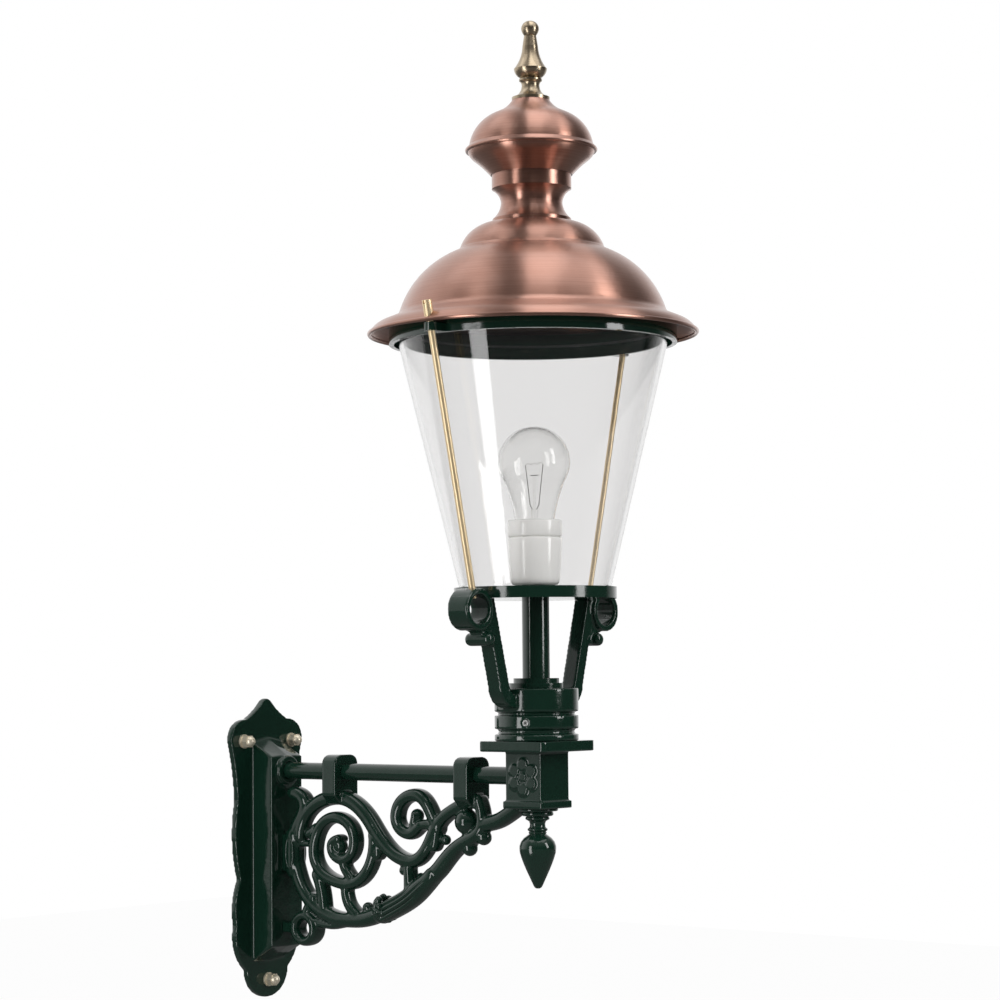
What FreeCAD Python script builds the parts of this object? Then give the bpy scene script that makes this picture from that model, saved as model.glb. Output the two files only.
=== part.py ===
# Wall lantern: a scalloped wall plate and a scrolled bracket carry a glazed,
# copper-hooded lantern on a two-armed fork.
# Millimetres, +Z up. The wall is the plane Y = 0 and the lantern stands out towards -Y.
# The origin is midway between the two upper fixing holes, on the wall.

import FreeCAD, Part
import math
import os

import Sketcher
from FreeCAD import Placement, Rotation, Vector

doc = FreeCAD.newDocument("wall_lantern")
sheet = doc.addObject("Spreadsheet::Sheet", "sizes")
sub_parts = []


class Size:
    """A length with the sheet expression that gives it."""

    rows = 0

    def __init__(self, value, text):
        self.value = float(value)
        self.text = text

    def __float__(self):
        return self.value

    def __add__(self, other):
        other = as_size(other)
        return Size(self.value + other.value, "(%s + %s)" % (self.text, other.text))

    def __sub__(self, other):
        other = as_size(other)
        return Size(self.value - other.value, "(%s - %s)" % (self.text, other.text))

    def __mul__(self, other):
        other = as_size(other)
        return Size(self.value * other.value, "(%s * %s)" % (self.text, other.text))

    def __truediv__(self, other):
        other = as_size(other)
        return Size(self.value / other.value, "(%s / %s)" % (self.text, other.text))

    def __neg__(self):
        return Size(-self.value, "(0 - %s)" % self.text)

    def root(self):
        return Size(math.sqrt(self.value), "sqrt(%s)" % self.text)


def as_size(amount):
    if isinstance(amount, Size):
        return amount
    return Size(amount, "%.6f" % amount)


def size(alias, value):
    """One row of the sheet: a name and a plain number."""
    Size.rows += 1
    sheet.set("A%d" % Size.rows, alias)
    sheet.set("B%d" % Size.rows, str(value))
    sheet.setAlias("B%d" % Size.rows, alias)
    return Size(value, "sizes." + alias)


# Wall plate: half outline from the peak to the foot, heights from the fixing line
reach = size("reach", 315.0)
fixing_rise = size("fixing_rise", 26.25)
fixing_half = size("fixing_half", 30.0)
fixing_bore = size("fixing_bore", 3.3)
plate_thick = size("plate_thick", 6.0)
peak_height = size("peak_height", 37.75)
peak_half = size("peak_half", 5.2)
peak_round = size("peak_round", 3.0)
brow_half = size("brow_half", 26.0)
brow_height = size("brow_height", 19.35)
ear_half = size("ear_half", 45.5)
waist_half = size("waist_half", 37.0)
waist_drop = size("waist_drop", 53.25)
hip_half = size("hip_half", 34.0)
hip_drop = size("hip_drop", 122.25)
lobe_half = size("lobe_half", 39.0)
lobe_drop = size("lobe_drop", 162.25)
tail_half = size("tail_half", 26.0)
foot_drop = size("foot_drop", 227.85)
foot_edge = size("foot_edge", 15.6)
fixing_low = foot_drop - foot_edge
tail_high = size("tail_high", 25.6)
tail_drop = foot_drop - tail_high
brow_sag = size("brow_sag", 0.9)
ear_sag = size("ear_sag", 6.3)
flank_sag = size("flank_sag", 1.6)
waist_sag = size("waist_sag", 4.5)
lobe_sag = size("lobe_sag", 3.5)
tail_sag = size("tail_sag", 6.0)

# Box raised on the plate, hollow from the wall side
box_half = size("box_half", 19.5)
box_deep = size("box_deep", 24.0)
box_top_drop = size("box_top_drop", 0.5)
box_ridge = size("box_ridge", 4.0)
box_end = size("box_end", 33.6)
box_bottom_drop = foot_drop - box_end
box_slope = size("box_slope", 13.5)
box_skin = size("box_skin", 4.0)
cavity_rise = size("cavity_rise", 12.5)
boss_radius = size("boss_radius", 13.0)
boss_out = size("boss_out", 3.5)

# Plate fixings
washer_radius = size("washer_radius", 6.2)
washer_bore = size("washer_bore", 3.6)
washer_thick = size("washer_thick", 1.6)
cap_nut_flats = size("cap_nut_flats", 10.0)
cap_nut_height = size("cap_nut_height", 6.5)
cap_nut_dome = size("cap_nut_dome", 4.6)
cap_nut_thread = size("cap_nut_thread", 3.0)

# Arm tube and its lock nut
tube_radius = size("tube_radius", 7.4)
tube_bore = size("tube_bore", 5.4)
tube_socket = size("tube_socket", 12.0)
tube_stub = size("tube_stub", 2.0)
lock_nut_flats = size("lock_nut_flats", 20.0)
lock_nut_thick = size("lock_nut_thick", 6.0)

# Scroll bracket casting
scroll_drop = size("scroll_drop", 152.0)
scroll_thick = size("scroll_thick", 14.0)
band_width = size("band_width", 10.0)
volute_width = size("volute_width", 8.8)
wall_band_width = size("wall_band_width", 12.0)
brace_width = size("brace_width", 12.5)
sheath_width = size("sheath_width", 17.0)
sheath_extra = size("sheath_extra", 3.0)
post_width = size("post_width", 9.0)
scroll_bevel = size("scroll_bevel", 2.4)
ball_radius = size("ball_radius", 11.2)
bead_radius = size("bead_radius", 6.8)
leaf_radius = size("leaf_radius", 4.6)
heel_radius = size("heel_radius", 15.3)
heel_bore = size("heel_bore", 8.2)
strap_half = size("strap_half", 15.0)
strap_long = size("strap_long", 16.0)
strap_foot = size("strap_foot", 20.0)
strap_corner = size("strap_corner", 9.0)
pad_drop = size("pad_drop", 72.0)
pad_height = size("pad_height", 32.0)
screw_pitch = size("screw_pitch", 20.0)
screw_radius = size("screw_radius", 2.5)
screw_grip = size("screw_grip", 9.0)
screw_head_radius = size("screw_head_radius", 4.5)
screw_head_high = size("screw_head_high", 4.0)

# Head block with its cap plate, lip, spigot and rosettes
block_half = size("block_half", 18.6)
block_low = size("block_low", 20.0)
block_high = size("block_high", 20.8)
lip_half = size("lip_half", 20.5)
lip_thick = size("lip_thick", 6.0)
cap_half = size("cap_half", 34.6)
cap_thick = size("cap_thick", 8.7)
cap_round = size("cap_round", 4.0)
spigot_radius = size("spigot_radius", 24.0)
spigot_high = size("spigot_high", 22.5)
rosette_radius = size("rosette_radius", 10.2)
petal_radius = size("petal_radius", 4.9)
petal_high = size("petal_high", 1.4)
rosette_eye = size("rosette_eye", 3.6)

# Drop finial below the block
drop_flange = size("drop_flange", 16.5)
drop_step = size("drop_step", 14.9)
drop_step_high = size("drop_step_high", 3.0)
drop_cove = size("drop_cove", 10.2)
drop_neck = size("drop_neck", 7.0)
drop_ring = size("drop_ring", 8.3)
drop_ring_low = size("drop_ring_low", 18.5)
drop_ring_high = size("drop_ring_high", 2.0)
drop_bud = size("drop_bud", 15.3)
drop_bud_low = size("drop_bud_low", 33.0)
drop_tip = size("drop_tip", 2.7)
drop_length = size("drop_length", 66.0)
drop_spigot = size("drop_spigot", 4.0)
drop_spigot_long = size("drop_spigot_long", 9.0)
drop_tip_sag = size("drop_tip_sag", 3.0)
drop_bud_sag = size("drop_bud_sag", 2.2)
drop_cove_sag = size("drop_cove_sag", 0.8)

# Fork: grooved collar, two arms, ring eyes and rolls
collar_radius = size("collar_radius", 34.8)
collar_high = size("collar_high", 43.3)
collar_web = size("collar_web", 5.0)
groove_deep = size("groove_deep", 3.4)
groove_low = size("groove_low", 5.6)
groove_low_wide = size("groove_low_wide", 4.2)
groove_high = size("groove_high", 20.9)
groove_high_wide = size("groove_high_wide", 3.0)
fork_high = size("fork_high", 116.9)
arm_wide = size("arm_wide", 11.5)
arm_deep = size("arm_deep", 14.0)
arm_top = size("arm_top", 62.0)
arm_foot = size("arm_foot", 43.5)
arm_foot_high = size("arm_foot_high", 46.5)
arm_root_high = size("arm_root_high", 27.5)
arm_root_top = size("arm_root_top", 37.0)
arm_knee = size("arm_knee", 5.0)
arm_knee_sag = size("arm_knee_sag", 4.2)
arm_root_sag = size("arm_root_sag", 1.6)
eye_reach = size("eye_reach", 84.0)
eye_high = size("eye_high", 107.5)
eye_radius = size("eye_radius", 17.0)
eye_bore = size("eye_bore", 12.2)
eye_deep = size("eye_deep", 20.5)
roll_reach = size("roll_reach", 72.5)
roll_high = size("roll_high", 83.5)
roll_radius = size("roll_radius", 5.5)
roll_long = size("roll_long", 27.0)
roll_web = size("roll_web", 12.0)
roll_round = size("roll_round", 4.2)
set_screw_radius = size("set_screw_radius", 2.5)
set_screw_high = size("set_screw_high", 15.2)
set_screw_turn = size("set_screw_turn", 203.0)
set_screw_sink = size("set_screw_sink", 0.6)
slide_fit = size("slide_fit", 0.2)

# Stem tube, clamp flange, dish and its nut
stem_radius = size("stem_radius", 11.35)
stem_bore = size("stem_bore", 9.0)
stem_socket = size("stem_socket", 20.0)
flange_radius = size("flange_radius", 22.6)
flange_low = size("flange_low", 4.2)
flange_step = size("flange_step", 18.9)
flange_high = size("flange_high", 4.0)
dish_radius = size("dish_radius", 67.6)
dish_high = size("dish_high", 9.6)
dish_floor = size("dish_floor", 3.0)
dish_wall = size("dish_wall", 3.0)
dish_nut_flats = size("dish_nut_flats", 32.0)
dish_nut_high = size("dish_nut_high", 5.0)
plug_long = size("plug_long", 8.0)

# Glass cone with gaskets, and the ring over it
gasket_thick = size("gasket_thick", 1.6)
glass_foot = size("glass_foot", 62.0)
glass_high = size("glass_high", 217.5)
glass_thick = size("glass_thick", 4.0)
ring_radius = size("ring_radius", 120.0)
ring_wall = size("ring_wall", 4.0)
glass_fit = size("glass_fit", 1.5)
glass_head = ring_radius - ring_wall - glass_fit
ring_skirt = size("ring_skirt", 10.0)
ledge_reach = size("ledge_reach", 14.0)
ring_ledge = ring_radius - ledge_reach
ring_ledge_thick = size("ring_ledge_thick", 4.0)
ring_rise = size("ring_rise", 4.4)
lug_thick = size("lug_thick", 6.8)
lug_half = size("lug_half", 6.2)
lug_nose = size("lug_nose", 5.4)

# Tie rods and their slotted nuts
rod_radius = size("rod_radius", 2.8)
rod_foot = size("rod_foot", 77.8)
rod_out = size("rod_out", 10.5)
rod_head = ring_radius + rod_out
rod_tip = size("rod_tip", 3.0)
rod_top = size("rod_top", 0.5)
rod_clear = size("rod_clear", 0.4)
rod_nut_radius = size("rod_nut_radius", 3.9)
rod_nut_high = size("rod_nut_high", 5.5)
rod_nut_slot = size("rod_nut_slot", 1.4)
rod_nut_slot_deep = size("rod_nut_slot_deep", 3.8)

# Lamp holder and lamp
holder_radius = size("holder_radius", 22.6)
holder_foot = size("holder_foot", 15.0)
holder_high = size("holder_high", 39.9)
holder_collar = size("holder_collar", 14.4)
holder_wall = size("holder_wall", 3.0)
holder_floor = size("holder_floor", 12.0)
holder_mouth = size("holder_mouth", 17.8)
holder_foot_sag = size("holder_foot_sag", 2.4)
holder_edge = size("holder_edge", 1.0)
holder_seat = size("holder_seat", 0.6)
nipple_radius = size("nipple_radius", 5.0)
nipple_bore = size("nipple_bore", 3.5)
nipple_long = size("nipple_long", 16.0)
sleeve_radius = size("sleeve_radius", 14.4)
sleeve_wall = size("sleeve_wall", 0.6)
sleeve_long = size("sleeve_long", 25.0)
contact_radius = size("contact_radius", 3.5)
contact_high = size("contact_high", 2.0)
contact_rim = size("contact_rim", 1.5)
lamp_radius = size("lamp_radius", 30.0)
lamp_long = size("lamp_long", 118.0)
lamp_cap_radius = size("lamp_cap_radius", 13.1)
lamp_cap_long = size("lamp_cap_long", 26.0)
lamp_neck = size("lamp_neck", 16.2)
lamp_neck_high = size("lamp_neck_high", 38.0)
lamp_glass = size("lamp_glass", 0.9)
lamp_neck_sag = size("lamp_neck_sag", 1.2)
lamp_pole = size("lamp_pole", 0.6)
lamp_tip = size("lamp_tip", 4.5)
lamp_tip_high = size("lamp_tip_high", 3.0)
mount_foot = size("mount_foot", 9.0)
mount_stalk = size("mount_stalk", 3.0)
mount_high = size("mount_high", 23.0)
mount_post = size("mount_post", 52.0)
lead_radius = size("lead_radius", 0.6)
lead_start = size("lead_start", 2.2)
lead_lift = size("lead_lift", 0.25)
lead_spread = size("lead_spread", 13.0)
lead_high = size("lead_high", 60.0)
filament_radius = size("filament_radius", 0.45)
filament_rise = size("filament_rise", 5.0)
post_radius = size("post_radius", 1.0)

# Copper hood, neck, onion and brass finial
sheet_thick = size("sheet_thick", 1.2)
hood_overhang = size("hood_overhang", 17.0)
hood_rim = ring_radius + hood_overhang
hood_rim_drop = size("hood_rim_drop", 11.0)
hood_bead = size("hood_bead", 1.8)
flare_over = size("flare_over", 5.5)
flare_out = ring_radius + flare_over
flare_out_drop = size("flare_out_drop", 1.0)
flare_inset = size("flare_inset", 4.5)
flare_in = ring_radius - flare_inset
flare_in_rise = size("flare_in_rise", 3.2)
bell_inset = size("bell_inset", 9.0)
bell_foot = ring_radius - bell_inset
bell_foot_rise = size("bell_foot_rise", 8.5)
crease = size("crease", 62.7)
crease_rise = size("crease_rise", 58.4)
crown_foot = size("crown_foot", 60.4)
crown_foot_rise = size("crown_foot_rise", 60.8)
crown = size("crown", 33.6)
crown_rise = size("crown_rise", 82.0)
rim_sag = size("rim_sag", 1.6)
flare_sag = size("flare_sag", 0.8)
bell_sag = size("bell_sag", 8.0)
crown_sag = size("crown_sag", 5.2)
neck_foot = size("neck_foot", 32.9)
neck_foot_high = size("neck_foot_high", 3.2)
neck_waist = size("neck_waist", 25.7)
neck_waist_high = size("neck_waist_high", 17.0)
neck_band = size("neck_band", 33.3)
neck_band_low = size("neck_band_low", 28.6)
neck_high = size("neck_high", 40.5)
neck_foot_sag = size("neck_foot_sag", 1.6)
neck_band_sag = size("neck_band_sag", 1.8)
onion_foot = size("onion_foot", 34.3)
onion_hip = size("onion_hip", 48.8)
onion_hip_high = size("onion_hip_high", 13.5)
onion_rim = size("onion_rim", 53.2)
onion_low_high = size("onion_low_high", 19.5)
onion_bead = size("onion_bead", 54.5)
onion_bead_high = size("onion_bead_high", 3.0)
onion_wall = size("onion_wall", 52.0)
onion_wall_high = size("onion_wall_high", 5.6)
onion_crease = size("onion_crease", 31.5)
onion_crease_high = size("onion_crease_high", 32.0)
onion_lip = size("onion_lip", 28.0)
onion_lip_high = size("onion_lip_high", 33.6)
onion_top = size("onion_top", 15.9)
onion_high = size("onion_high", 43.7)
onion_sag = size("onion_sag", 4.4)
onion_hip_sag = size("onion_hip_sag", 0.5)
onion_bead_sag = size("onion_bead_sag", 0.9)
onion_lip_sag = size("onion_lip_sag", 1.2)
finial_foot_high = size("finial_foot_high", 2.4)
finial_waist = size("finial_waist", 7.6)
finial_waist_high = size("finial_waist_high", 11.3)
finial_ring = size("finial_ring", 9.6)
finial_ring_high = size("finial_ring_high", 16.4)
finial_ring_thick = size("finial_ring_thick", 1.6)
finial_belly = size("finial_belly", 13.9)
finial_belly_high = size("finial_belly_high", 26.6)
finial_spire = size("finial_spire", 6.6)
finial_spire_high = size("finial_spire_high", 45.5)
finial_neck = size("finial_neck", 5.2)
finial_neck_high = size("finial_neck_high", 54.4)
finial_ball = size("finial_ball", 7.5)
finial_high = size("finial_high", 67.5)
finial_socket = size("finial_socket", 12.0)
finial_foot_sag = size("finial_foot_sag", 2.0)
finial_waist_sag = size("finial_waist_sag", 0.9)
finial_step = size("finial_step", 1.4)
finial_belly_sag = size("finial_belly_sag", 1.6)
finial_neck_step = size("finial_neck_step", 0.6)
finial_pole = size("finial_pole", 0.6)
hood_rod_radius = size("hood_rod_radius", 4.0)
hood_rod_stub = size("hood_rod_stub", 3.0)
hood_washer_radius = size("hood_washer_radius", 16.0)
hood_washer_thick = size("hood_washer_thick", 2.0)
hood_nut_flats = size("hood_nut_flats", 13.0)
hood_nut_high = size("hood_nut_high", 6.5)

# Heights on the lantern's axis, stacked from the arm upwards
arm_z = -fixing_rise
box_face = plate_thick + box_deep
cap_z = arm_z + block_high + cap_thick
collar_z = cap_z + collar_high
dish_z = cap_z + fork_high
floor_z = dish_z + dish_floor
glass_z = floor_z + gasket_thick
ledge_z = glass_z + glass_high + gasket_thick
ring_z = glass_z + glass_high - ring_skirt
hood_z = ledge_z + ring_ledge_thick + ring_rise
neck_z = hood_z + crown_rise
onion_z = neck_z + neck_high
upper_z = onion_z + onion_low_high
finial_z = upper_z + onion_high
holder_z = floor_z + plug_long + holder_seat
lamp_z = holder_z + holder_floor + contact_high
lip_z = arm_z - block_low - lip_thick
eye_z = cap_z + eye_high


def place(item, x, y, z):
    """Put an item at a point given by sheet sizes."""
    x, y, z = as_size(x), as_size(y), as_size(z)
    item.Placement = Placement(Vector(x.value, y.value, z.value), item.Placement.Rotation)
    item.setExpression("Placement.Base.x", x.text)
    item.setExpression("Placement.Base.y", y.text)
    item.setExpression("Placement.Base.z", z.text)


def bind(item, prop, amount):
    item.setExpression(prop, as_size(amount).text)


def keep(item, label):
    """Name a finished sub-part, which gives it a file of its own."""
    item.Label = label
    sub_parts.append(item)
    return item


def new_body(name, x=0.0, y=0.0, z=0.0):
    body = doc.addObject("PartDesign::Body", name)
    place(body, x, y, z)
    return body


def new_sketch(body, role, lift=0.0):
    sketch = body.newObject("Sketcher::SketchObject", "sketch")
    plane = [item for item in body.Origin.OriginFeatures if item.Role == role][0]
    sketch.AttachmentSupport = [(plane, "")]
    sketch.MapMode = "FlatFace"
    lift = as_size(lift)
    sketch.AttachmentOffset = Placement(Vector(0, 0, lift.value), Rotation())
    sketch.setExpression("AttachmentOffset.Base.z", lift.text)
    return sketch


def pin(sketch, kind, where, amount):
    """A driving constraint whose value comes from the sheet."""
    index = sketch.addConstraint(Sketcher.Constraint(kind, *where, as_size(amount).value))
    if isinstance(amount, Size):
        sketch.setExpression("Constraints[%d]" % index, amount.text)


def arc_radius(ax, ay, bx, by, sag):
    run_x = bx - ax
    run_y = by - ay
    return ((run_x * run_x + run_y * run_y) / 4.0 + sag * sag) / (sag * 2.0)


def outline(sketch, corners):
    """Closed outline. A corner is (x, y), or (x, y, sag) where an arc follows it:
    the sag is positive where the arc swells to the right of the way along the outline."""
    starts = []
    ends = []
    count = len(corners)
    for index, corner in enumerate(corners):
        following = corners[(index + 1) % count]
        ax, ay = as_size(corner[0]), as_size(corner[1])
        bx, by = as_size(following[0]), as_size(following[1])
        start = Vector(ax.value, ay.value, 0)
        end = Vector(bx.value, by.value, 0)
        if len(corner) == 2:
            line = sketch.addGeometry(Part.LineSegment(start, end), False)
            starts.append((line, 1))
            ends.append((line, 2))
            continue
        sag = as_size(corner[2])
        swells = sag.value > 0
        radius = arc_radius(ax, ay, bx, by, sag if swells else -sag)
        chord = end - start
        side = Vector(-chord.y, chord.x, 0).normalize() * (radius.value - abs(sag.value))
        centre = (start + end) * 0.5 + (side if swells else side * -1)
        first, last = (start, end) if swells else (end, start)
        angle = math.atan2(first.y - centre.y, first.x - centre.x)
        turn = math.atan2(last.y - centre.y, last.x - centre.x)
        turn = turn if turn > angle else turn + 2 * math.pi
        circle = Part.Circle(centre, Vector(0, 0, 1), radius.value)
        arc = sketch.addGeometry(Part.ArcOfCircle(circle, angle, turn), False)
        starts.append((arc, 1 if swells else 2))
        ends.append((arc, 2 if swells else 1))
        pin(sketch, "Radius", (arc,), radius)
    for index, corner in enumerate(corners):
        sketch.addConstraint(Sketcher.Constraint("Coincident", *ends[index - 1], *starts[index]))
        pin(sketch, "DistanceX", starts[index], corner[0])
        pin(sketch, "DistanceY", starts[index], corner[1])


def circle(sketch, x, y, radius):
    x, y, radius = as_size(x), as_size(y), as_size(radius)
    ring = sketch.addGeometry(Part.Circle(Vector(x.value, y.value, 0), Vector(0, 0, 1), radius.value), False)
    pin(sketch, "DistanceX", (ring, 3), x)
    pin(sketch, "DistanceY", (ring, 3), y)
    pin(sketch, "Radius", (ring,), radius)


def box_outline(sketch, x0, x1, y0, y1):
    outline(sketch, [(x0, y0), (x1, y0), (x1, y1), (x0, y1)])


def hexagon(sketch, flats, x=0.0, y=0.0):
    half = as_size(flats) / 2.0
    tip = half * (2.0 / math.sqrt(3.0))
    x, y = as_size(x), as_size(y)
    outline(sketch, [(x + tip, y), (x + tip / 2.0, y + half), (x - tip / 2.0, y + half),
                     (x - tip, y), (x - tip / 2.0, y - half), (x + tip / 2.0, y - half)])


def pad(body, sketch, length, middle=False):
    item = body.newObject("PartDesign::Pad", "pad")
    item.Profile = sketch
    item.Midplane = middle
    bind(item, "Length", length)
    return item


def pocket(body, sketch, length=None, middle=False, reverse=True):
    doc.recompute()
    before = body.Shape.Volume
    item = body.newObject("PartDesign::Pocket", "pocket")
    item.Profile = sketch
    item.Midplane = middle
    item.Reversed = reverse
    if length is None:
        item.Type = "ThroughAll"
    else:
        bind(item, "Length", length)
    doc.recompute()
    if body.Shape.Volume > before - 0.5:
        raise ValueError("a pocket in %s cut nothing" % body.Name)
    return item


def turn(body, corners):
    """Revolve a profile of radii and heights about the body's vertical axis."""
    sketch = new_sketch(body, "XZ_Plane")
    outline(sketch, corners)
    item = body.newObject("PartDesign::Revolution", "revolution")
    item.Profile = sketch
    item.ReferenceAxis = (sketch, ["V_Axis"])
    item.Angle = 360.0
    return item


def turned(label, z, corners):
    """A turned or spun piece on the lantern's axis."""
    body = new_body(label, 0.0, -reach, z)
    turn(body, corners)
    return keep(body, label)


def cylinder(name, x, y, z, radius, height, rotation=None):
    item = doc.addObject("Part::Cylinder", name)
    item.Placement = Placement(Vector(), rotation or Rotation())
    place(item, x, y, z)
    bind(item, "Radius", radius)
    bind(item, "Height", height)
    return item


def cut(name, base, tool):
    item = doc.addObject("Part::Cut", name)
    item.Base = base
    item.Tool = tool
    return item


def join(name, shapes):
    item = doc.addObject("Part::MultiFuse", name)
    item.Shapes = shapes
    return item


def group(label, items):
    item = doc.addObject("Part::Compound", label)
    item.Links = items
    return keep(item, label)


towards_room = Rotation(Vector(1, 0, 0), 90)

# Wall plate: scalloped slab with a hollow raised box and a boss for the tube
plate = new_body("wall_plate")
right_side = [(tail_half, -tail_drop, tail_sag), (lobe_half, -lobe_drop, lobe_sag),
              (hip_half, -hip_drop, waist_sag), (waist_half, -waist_drop, -flank_sag),
              (ear_half, 0.0, ear_sag), (brow_half, brow_height, -brow_sag),
              (peak_half, peak_height - peak_round, peak_round)]
sags = [corner[2] for corner in right_side]
left_side = [(-corner[0], corner[1], sag)
             for corner, sag in zip(reversed(right_side), reversed([foot_drop - tail_drop] + sags[:-1]))]
slab = new_sketch(plate, "XZ_Plane")
outline(slab, right_side + left_side)
pad(plate, slab, plate_thick)


def box_section(top, bottom, ridge):
    return [(-box_half, -bottom), (0.0, -bottom - ridge / 2.0), (box_half, -bottom),
            (box_half, -top), (0.0, -top + ridge), (-box_half, -top)]


box_base = new_sketch(plate, "XZ_Plane", plate_thick - 0.5)
outline(box_base, box_section(box_top_drop, box_bottom_drop, box_ridge))
box_front = new_sketch(plate, "XZ_Plane", box_face)
outline(box_front, box_section(box_top_drop + box_slope, box_bottom_drop - box_slope, box_ridge / 4.0))
raised_box = plate.newObject("PartDesign::AdditiveLoft", "raised_box")
raised_box.Profile = box_base
raised_box.Sections = [box_front]
raised_box.Ruled = True
boss = new_sketch(plate, "XZ_Plane", box_face - 0.5)
circle(boss, 0.0, arm_z, boss_radius)
pad(plate, boss, boss_out + 0.5)
cavity = new_sketch(plate, "XZ_Plane")
box_outline(cavity, box_skin - box_half, box_half - box_skin,
            box_slope + box_skin - box_bottom_drop, arm_z + cavity_rise)
pocket(plate, cavity, box_face - box_skin)
fixings = new_sketch(plate, "XZ_Plane")
circle(fixings, fixing_half, 0.0, fixing_bore)
circle(fixings, -fixing_half, 0.0, fixing_bore)
circle(fixings, 0.0, -fixing_low, fixing_bore)
pocket(plate, fixings)
passages = new_sketch(plate, "XZ_Plane")
circle(passages, 0.0, arm_z, tube_radius)
circle(passages, 0.0, arm_z - pad_drop + screw_pitch / 2.0, screw_radius)
circle(passages, 0.0, arm_z - pad_drop - screw_pitch / 2.0, screw_radius)
pocket(plate, passages)
keep(plate, "wall_plate")

# Washers and domed cap nuts on the three fixing points
fixing_points = [(-fixing_half, as_size(0.0)), (fixing_half, as_size(0.0)), (as_size(0.0), -fixing_low)]
washers = []
cap_nuts = []
for x, z in fixing_points:
    disc = cylinder("washer_disc", x, -plate_thick, z, washer_radius, washer_thick, towards_room)
    hole = cylinder("washer_hole", x, -plate_thick, z, washer_bore, washer_thick, towards_room)
    washers.append(cut("washer", disc, hole))
    seat = -plate_thick - washer_thick
    prism = doc.addObject("Part::Prism", "nut_hexagon")
    prism.Polygon = 6
    prism.Placement = Placement(Vector(), towards_room)
    place(prism, x, seat, z)
    bind(prism, "Circumradius", cap_nut_flats / math.sqrt(3.0))
    bind(prism, "Height", cap_nut_height)
    dome = doc.addObject("Part::Sphere", "nut_dome")
    dome.Placement = Placement(Vector(), towards_room)
    place(dome, x, seat - cap_nut_height, z)
    bind(dome, "Radius", cap_nut_dome)
    dome.Angle1 = 0.0
    thread_long = cap_nut_height + cap_nut_dome / 3.0
    thread = cylinder("nut_thread", x, seat, z, cap_nut_thread, thread_long, towards_room)
    cap_nuts.append(cut("cap_nut", join("cap_nut_blank", [prism, dome]), thread))
group("wall_washers", washers)
group("wall_cap_nuts", cap_nuts)

# Arm tube from the plate's box to the head block, with a lock nut inside the box
nut_face = box_face - box_skin - lock_nut_thick
tube_start = nut_face - tube_stub
tube_end = reach - block_half + tube_socket
tube = new_body("arm_tube", 0.0, -tube_start, arm_z)
tube_section = new_sketch(tube, "XZ_Plane")
circle(tube_section, 0.0, 0.0, tube_radius)
circle(tube_section, 0.0, 0.0, tube_bore)
pad(tube, tube_section, tube_end - tube_start)
keep(tube, "arm_tube")

lock_nut = new_body("arm_lock_nut", 0.0, -nut_face, arm_z)
lock_nut_section = new_sketch(lock_nut, "XZ_Plane")
hexagon(lock_nut_section, lock_nut_flats)
circle(lock_nut_section, 0.0, 0.0, tube_radius)
pad(lock_nut, lock_nut_section, lock_nut_thick)
keep(lock_nut, "arm_lock_nut")

# Screws that pull the bracket's pad onto the box from inside
bracket_screws = []
for offset in (screw_pitch / 2.0, -screw_pitch / 2.0):
    height = arm_z - pad_drop + offset
    head_y = box_face - box_skin - screw_head_high
    head = cylinder("screw_head", 0.0, -head_y, height, screw_head_radius, screw_head_high, towards_room)
    shank_y = box_face - box_skin
    shank = cylinder("screw_shank", 0.0, -shank_y, height, screw_radius, box_skin + screw_grip, towards_room)
    bracket_screws.append(join("bracket_screw", [head, shank]))
group("bracket_screws", bracket_screws)

# Scroll bracket. Its strokes are drawn on a grid in hundredths: columns run from the box face to
# the head block, rows from the tube's axis down to the heel. A stroke is a list of (column, row,
# heading in degrees), joined by tangent arcs, with round ends and bevelled rims.
span = float(reach - lip_half - box_face)
drop = float(scroll_drop)
stretch = (span / 264.5) / (drop / 152.0)


def grid(column, row):
    return Vector(0, -(float(box_face) + column * span / 100), float(arm_z) - row * drop / 100)


def heading(degrees):
    """Way of a stroke, drawn at the nominal grid and stretched with it."""
    angle = math.radians(degrees)
    return Vector(0, -math.cos(angle) * stretch, math.sin(angle)).normalize()


def left_of(way):
    return Vector(0, -way.z, way.y)


def arc_middle(start, way, end):
    """Middle point and end heading of the arc that leaves start along way and reaches end."""
    chord = end - start
    across = chord.dot(left_of(way))
    if abs(across) < 1e-6 * chord.Length:
        return (start + end) * 0.5, way
    radius = chord.Length ** 2 / (2 * across)
    centre = start + left_of(way) * radius
    middle = (start + end) * 0.5 - centre
    if way.dot(chord) < 0:
        middle = middle * -1
    arm = end - centre
    last = left_of(arm) * ((1 if radius > 0 else -1) / arm.Length)
    return centre + middle.normalize() * abs(radius), last


def spine(nodes):
    """Points and headings along a stroke: two tangent arcs between each pair of nodes."""
    points = []
    for first, second in zip(nodes, nodes[1:]):
        start, end = grid(first[0], first[1]), grid(second[0], second[1])
        way, last = heading(first[2]), heading(second[2])
        run = end - start
        both = run.dot(way + last)
        bend = 2 * (1 - way.dot(last))
        if bend < 1e-6:
            reach_in = run.dot(run) / (2 * both)
        else:
            reach_in = (math.sqrt(both ** 2 + bend * run.dot(run)) - both) / bend
        knee = (start + way * reach_in + end - last * reach_in) * 0.5
        for a, along, b in ((start, way, knee), (knee, None, end)):
            along = along or points[-1][1]
            if not points:
                points.append((a, along))
            middle, arrival = arc_middle(a, along, b)
            points.append((middle, arc_middle(a, along, middle)[1]))
            points.append((b, arrival))
    return points


def arc_edge(start, middle, end):
    if (middle - (start + end) * 0.5).Length < 1e-4:
        return Part.LineSegment(start, end).toShape()
    return Part.Arc(start, middle, end).toShape()


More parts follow.
